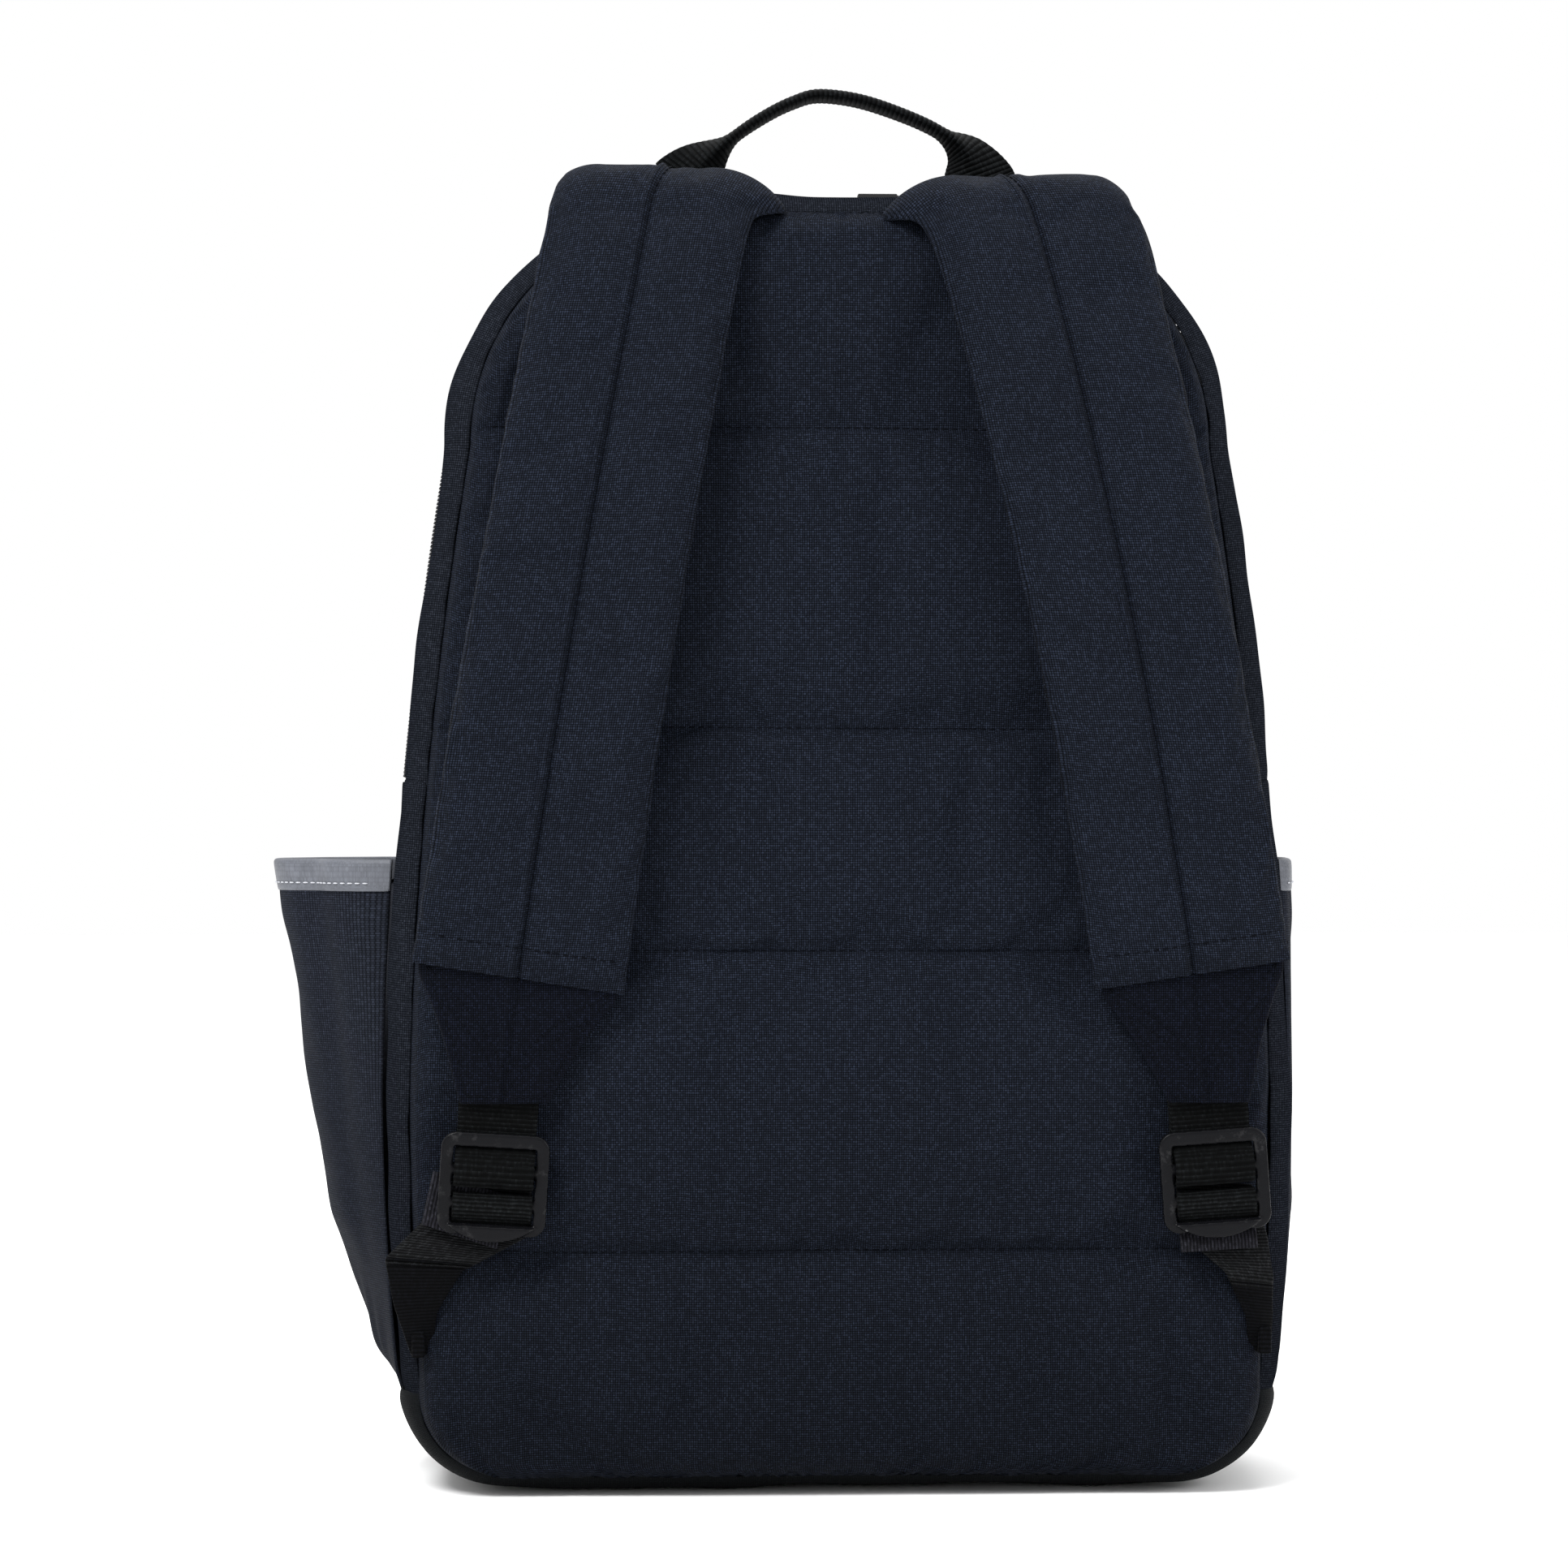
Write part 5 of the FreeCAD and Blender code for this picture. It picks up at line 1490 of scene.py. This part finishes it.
def adjuster(side, seed):
    """Lower webbing that comes down from the buckle, folds over and is sewn into the side seam."""
    outer, inner = ADJUSTER_EDGES[side]
    first, second = (inner, outer) if side == "left" else (outer, inner)
    points = ruled(second, first, 90, 20)
    along = lengths(points[:, 10])
    share = np.linspace(-1, 1, 20)[None]
    curl = 0.9 * MM * (share ** 2) * ease(along[:, None], 10 * MM, 40 * MM)
    soft = 0.5 * MM * smooth_noise(share * 20 * MM, along[:, None], 14 * MM, seed)
    points[..., 1] += curl + soft * ease(along[:, None], 4 * MM, 16 * MM)
    place = along[:, None] / along[-1]
    fold = FOLD_AT[side]
    points[..., 1] -= FOLD_RISE * ease(place, 0.12, fold - 0.06) * (1 - ease(place, fold, fold + 0.05))
    uv = stacked(share * WEBBING_HALF, along[:, None])
    cut = int(fold * len(points))
    points[cut - 3:cut + 3, :, 1] += FOLD_TUCK
    bends = {"a": "ladder_lock_" + side, "b": "bag", "start": tuple(points[2].mean(0)),
             "end": tuple(points[cut - 2].mean(0))}
    upper, lower = np.s_[:cut + 2], np.s_[cut - 3:]
    # The turned-down lower part takes the darker webbing: painted shade where it faces away from the light.
    parts = (("adjuster_ribbon_", upper, "webbing_low", bends, ("adjuster_webbing_" + side,)),
             ("adjuster_turn_", lower, "webbing_shaded", "bag", ()))
    for stem, rows, material, body, nodes in parts:
        cloth_piece(stem + side, points[rows][::-1], uv[rows][::-1], (material,), body,
                    nodes, thickness=HEM_THICK, offset=0.0)
    adjuster_hem(side, seed + 2)
    # The stub in the side seam is coloured darker: painted shade.
    rounded_copy("adjuster_anchor_" + side, "adjuster_end_" + side, "anchor", "bag", 0.4 * MM)


def between(corners, v, t):
    """Points between four corners, at shares v up and t across."""
    v, t = v[..., None], t[..., None]
    low, high = (a * (1 - t) + b * t for a, b in (corners[:2], corners[2:]))
    return low * (1 - v) + high * v


def adjuster_hem(side, seed):
    """Hemmed end of the lower webbing, which hangs behind the ladder lock."""
    v, t = np.meshgrid(np.linspace(0, 1, 40), np.linspace(0, 1, 24), indexing="ij")
    flat = between(np.array(TAIL_CORNERS[side]) * MM, v, t)
    depth = 0.4 * MM + 2.4 * MM * ease(v, 0.10, 0.45)
    depth = depth + 0.15 * MM * smooth_noise(flat[..., 0], flat[..., 1], 8 * MM, seed)
    hem = in_lock(side, flat[..., 0], depth, flat[..., 1])
    uv = np.stack([(t - 0.5) * 2 * WEBBING_HALF, v * 20 * MM], -1)
    cloth_piece("adjuster_hem_" + side, hem, uv, ("tail",), "ladder_lock_" + side,
                thickness=HEM_THICK, offset=0.0)


PATCH_THICK = 2.6 * MM
UNDER_STRAP = 0.14        # share of the patch's length that goes on under the strap
# Stitched lines on the patch, from and to (share down, share across).
PATCH_SEAMS = (((0.13, 0.05), (0.13, 0.95)), ((0.95, 0.10), (0.95, 0.90)), ((0.13, 0.95), (0.95, 0.90)),
               ((0.13, 0.05), (0.95, 0.10)), ((0.13, 0.05), (0.80, 0.50)), ((0.13, 0.95), (0.80, 0.50)),
               ((0.13, 0.5), (0.95, 0.5)), ((0.34, 0.07), (0.94, 0.5)), ((0.34, 0.93), (0.94, 0.5)))


def strap_patch(side, seed):
    """Sewn patch that narrows from the end of the strap to the webbing."""
    edges = STRAP_EDGES[side]
    top = [np.array(edges[key][2]) * MM for key in ("low_x", "high_x")]
    low = [np.array(p) * MM for p in edges["patch"]]
    v, t = np.meshgrid(np.linspace(-UNDER_STRAP, 1.0, 30), np.linspace(0, 1, 34), indexing="ij")
    flat = between(top + low, v, t)
    middle = (flat[:, :1] + flat[:, -1:]) / 2
    pull = 1 - 0.05 * ease(v, 0.1, 0) - 0.07 * np.sin(math.pi * np.clip(v, 0, 1))
    flat = middle + (flat - middle) * pull[..., None]
    wide = np.linalg.norm(flat[:, -1:] - flat[:, :1], axis=-1)
    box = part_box("strap_end_patch_" + side)
    puff = np.sqrt(np.clip(1 - abs(2 * t - 1) ** 6, 0, 1)) * 1.5 * MM
    y = box[1].y - PATCH_THICK - puff - 0.8 * MM * ease(v, 0.9, 0.0)
    y = y + 0.45 * MM * smooth_noise(flat[..., 0], flat[..., 1], 9 * MM, seed)
    beside = (t - 0.5) * wide
    y = y - 1.2 * MM * bump(beside, -2.2 * MM, 1.4 * MM) + 1.0 * MM * np.exp(-abs(beside) / (1.3 * MM))
    y = y + 0.6 * MM * bump(np.minimum(t, 1 - t) * wide, 2.6 * MM, 0.9 * MM)
    points = np.stack([flat[..., 0], y, flat[..., 1]], -1)
    cloth_piece("strap_patch_" + side, points[::-1], flat_uv(points)[::-1], ("patch",), "bag",
                ("strap_end_patch_" + side,), thickness=PATCH_THICK)
    lines = [straight(points, start, end) for start, end in PATCH_SEAMS]
    sew("strap_patch_stitches_" + side, lines, "bag", "stitch", 2.5 * MM)


def on_grid(grid, v, t):
    """Points of a grid at shares of its rows and columns."""
    rows, cols = grid.shape[:2]
    r, c = np.clip(v, 0, 1) * (rows - 1), np.clip(t, 0, 1) * (cols - 1)
    r0, c0 = np.minimum(r.astype(int), rows - 2), np.minimum(c.astype(int), cols - 2)
    fr, fc = (r - r0)[:, None], (c - c0)[:, None]
    near = grid[r0, c0] * (1 - fc) + grid[r0, c0 + 1] * fc
    far = grid[r0 + 1, c0] * (1 - fc) + grid[r0 + 1, c0 + 1] * fc
    return near * (1 - fr) + far * fr


def straight(grid, start, end, count=24):
    """Line across a grid between two (row, column) shares, with normals towards the viewer's side."""
    v, t = (np.linspace(start[k], end[k], count) for k in (0, 1))
    return on_grid(grid, v, t), np.tile(BACKWARDS, (count, 1))


# ---- Haul handle ----

HANDLE_LINE = ((-50.0, 422.0), (-43.5, 430.0), (-33.0, 439.0), (-23.0, 445.6), (-14.5, 449.8), (-6.5, 452.0),
               (6.0, 450.7), (19.0, 446.7), (32.0, 441.0), (41.5, 434.0), (46.8, 422.0))
HANDLE_HALF = 12.0 * MM
FOLDED_HALF = 6.2 * MM    # half the handle's width where it is folded double


def handle():
    """Webbing handle: folded double along the middle of its arch, opening flat at its feet."""
    low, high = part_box("haul_handle")
    line = resample(spline(np.array(HANDLE_LINE) * MM, 300), 420)
    along = lengths(line)
    tangent = unit(np.gradient(line, axis=0))
    normal = np.stack([-tangent[:, 1], tangent[:, 0]], 1)
    share = along / along[-1]
    flat = (1 - ease(share, 0.0, 0.21) + ease(share, 0.79, 0.99))[:, None]
    turn = np.linspace(-1, 1, 34)[None]
    leaf = 1.25 * MM * np.tanh(turn * 4)
    across = HANDLE_HALF * turn * flat + leaf * (1 - flat)
    depth = FOLDED_HALF * (2 * abs(turn) - 1) * (1 - flat)
    ribs = 0.16 * MM * np.sin(along * 2 * math.pi / HANDLE_RIB)[:, None]
    soft = 0.5 * MM * smooth_noise(along[:, None], turn * 10 * MM, 18 * MM, 81)
    across = across + (ribs * 0.6 + soft * 0.6) * (1 - flat) * np.sign(turn)
    depth = depth - (ribs + soft * 0.6) * flat
    lifted = 0.15 * MM * (ease(share, 0.0, 0.1) * (1 - ease(share, 0.9, 1.0)))[:, None]
    x = line[:, :1] + normal[:, :1] * across
    z = np.maximum(line[:, 1:] + normal[:, 1:] * across, low.z + lifted)
    points = stacked(x, (low.y + high.y) / 2 + depth, z)
    uv = stacked(turn * HANDLE_HALF, along[:, None])
    cloth_piece("haul_handle_webbing", points, uv, ("handle",), "haul_handle",
                ("haul_handle",), thickness=1.3 * MM, offset=0.0)
    for side in SIDES:
        rounded_copy("handle_foot_" + side, "handle_end_" + side, "foot", "bag", 0.6 * MM)


# ---- Small hard parts ----

TAB_PRESSED = 0.5         # thickness of a pressed end tab as a share of its CAD thickness


def flatten(tab, sign):
    """Presses a sewn tab against the wall that it sits on."""
    points = read_points(tab.data)
    wall = (points[:, 0] * sign).min()
    points[:, 0] = sign * (wall + (points[:, 0] * sign - wall) * TAB_PRESSED)
    write_points(tab.data, points)


def small_parts():
    """Zip sliders, pulls, end tabs and the base board."""
    for name in ("main_slider_left", "main_slider_right", "front_pocket_slider"):
        rounded_copy(name, name + "_cast", "metal", name, 0.22 * MM, 4)
    for name in ("main_pull_left", "main_pull_right", "front_pocket_pull"):
        rounded_copy(name, name + "_moulded", "pull", name, 0.18 * MM, 4)
    for side, sign in SIDES.items():
        flatten(rounded_copy("zip_end_tab_" + side, "zip_tab_" + side, "tab", "bag",
                             0.45 * MM, 8), sign)
    rounded_copy("base_board", "base_board_sheet", "board", "bag", 1.0 * MM, 4)


# ---- Stage ----

CAMERA_AIM = (-0.0168, -0.035, 0.228)
CAMERA_DISTANCE = 1.66
CAMERA_YAW = 2.5
LENS = 116.0
FLOOR_HALF = 6.0
LAMP_AIM = (0, 0, 0.22)
# Lamps: name, place, diameter and power.
LAMPS = (("key", (-0.9, -1.5, 1.9), 0.9, 62.0), ("fill", (1.6, -1.2, 1.0), 1.0, 14.0),
         ("top", (0.1, 0.5, 2.2), 1.3, 30.0))


def stage():
    """Pale floor, soft studio light and the camera."""
    mesh = bpy.data.meshes.new("floor")
    corners = [(x * FLOOR_HALF, y * FLOOR_HALF, 0) for x, y in ((-1, -1), (1, -1), (1, 1), (-1, 1))]
    mesh.from_pydata(corners, [], [(0, 1, 2, 3)])
    floor = new_object("floor", mesh, Shader("floor_white").finish((*FLOOR_WHITE, 1.0), 0.9))
    floor.location.z = -0.4 * MM
    scene = bpy.context.scene
    scene.view_settings.view_transform = "Standard"
    world = bpy.data.worlds.new("studio")
    scene.world = world
    world.use_nodes = True
    sky = world.node_tree.nodes["Background"].inputs
    sky[0].default_value = (1.0, 1.0, 1.0, 1.0)
    sky[1].default_value = 1.0
    for name, where, size, power in LAMPS:
        lamp = bpy.data.lights.new(name, "AREA")
        lamp.shape = "DISK"
        lamp.size = size
        lamp.energy = power
        thing = bpy.data.objects.new(name, lamp)
        scene.collection.objects.link(thing)
        thing.location = where
        thing.rotation_euler = (Vector(LAMP_AIM) - Vector(where)).to_track_quat("-Z", "Y").to_euler()
    camera = bpy.data.objects.new("camera", bpy.data.cameras.new("camera"))
    scene.collection.objects.link(camera)
    camera.data.lens = LENS
    yaw = math.radians(CAMERA_YAW)
    camera.location = Vector(CAMERA_AIM) + CAMERA_DISTANCE * Vector((-math.sin(yaw), -math.cos(yaw), 0))
    camera.rotation_euler = (math.radians(90), 0, -yaw)
    scene.camera = camera


# ---- Build everything ----

def build():
    """The whole bag."""
    panel, panel_shape = back_panel()
    straps = {side: strap(side) for side in SIDES}
    soft = [panel] + [straps[side][0] for side in SIDES]
    simulate(soft, (PANEL_CAP, STRAP_CAP, STRAP_CAP))
    finish_back_panel(panel, panel_shape)
    for side, (thing, shape, middle) in straps.items():
        finish_strap(thing, side, shape, middle)
    walls()
    front_panels()
    inner_parts()
    main_zip()
    front_pocket()
    for number, side in enumerate(SIDES):
        side_pocket(side, 91 + 5 * number)
        buckle(side, 101 + 5 * number)
        adjuster(side, 111 + 5 * number)
        strap_patch(side, 121 + 5 * number)
    handle()
    small_parts()


build()
stage()
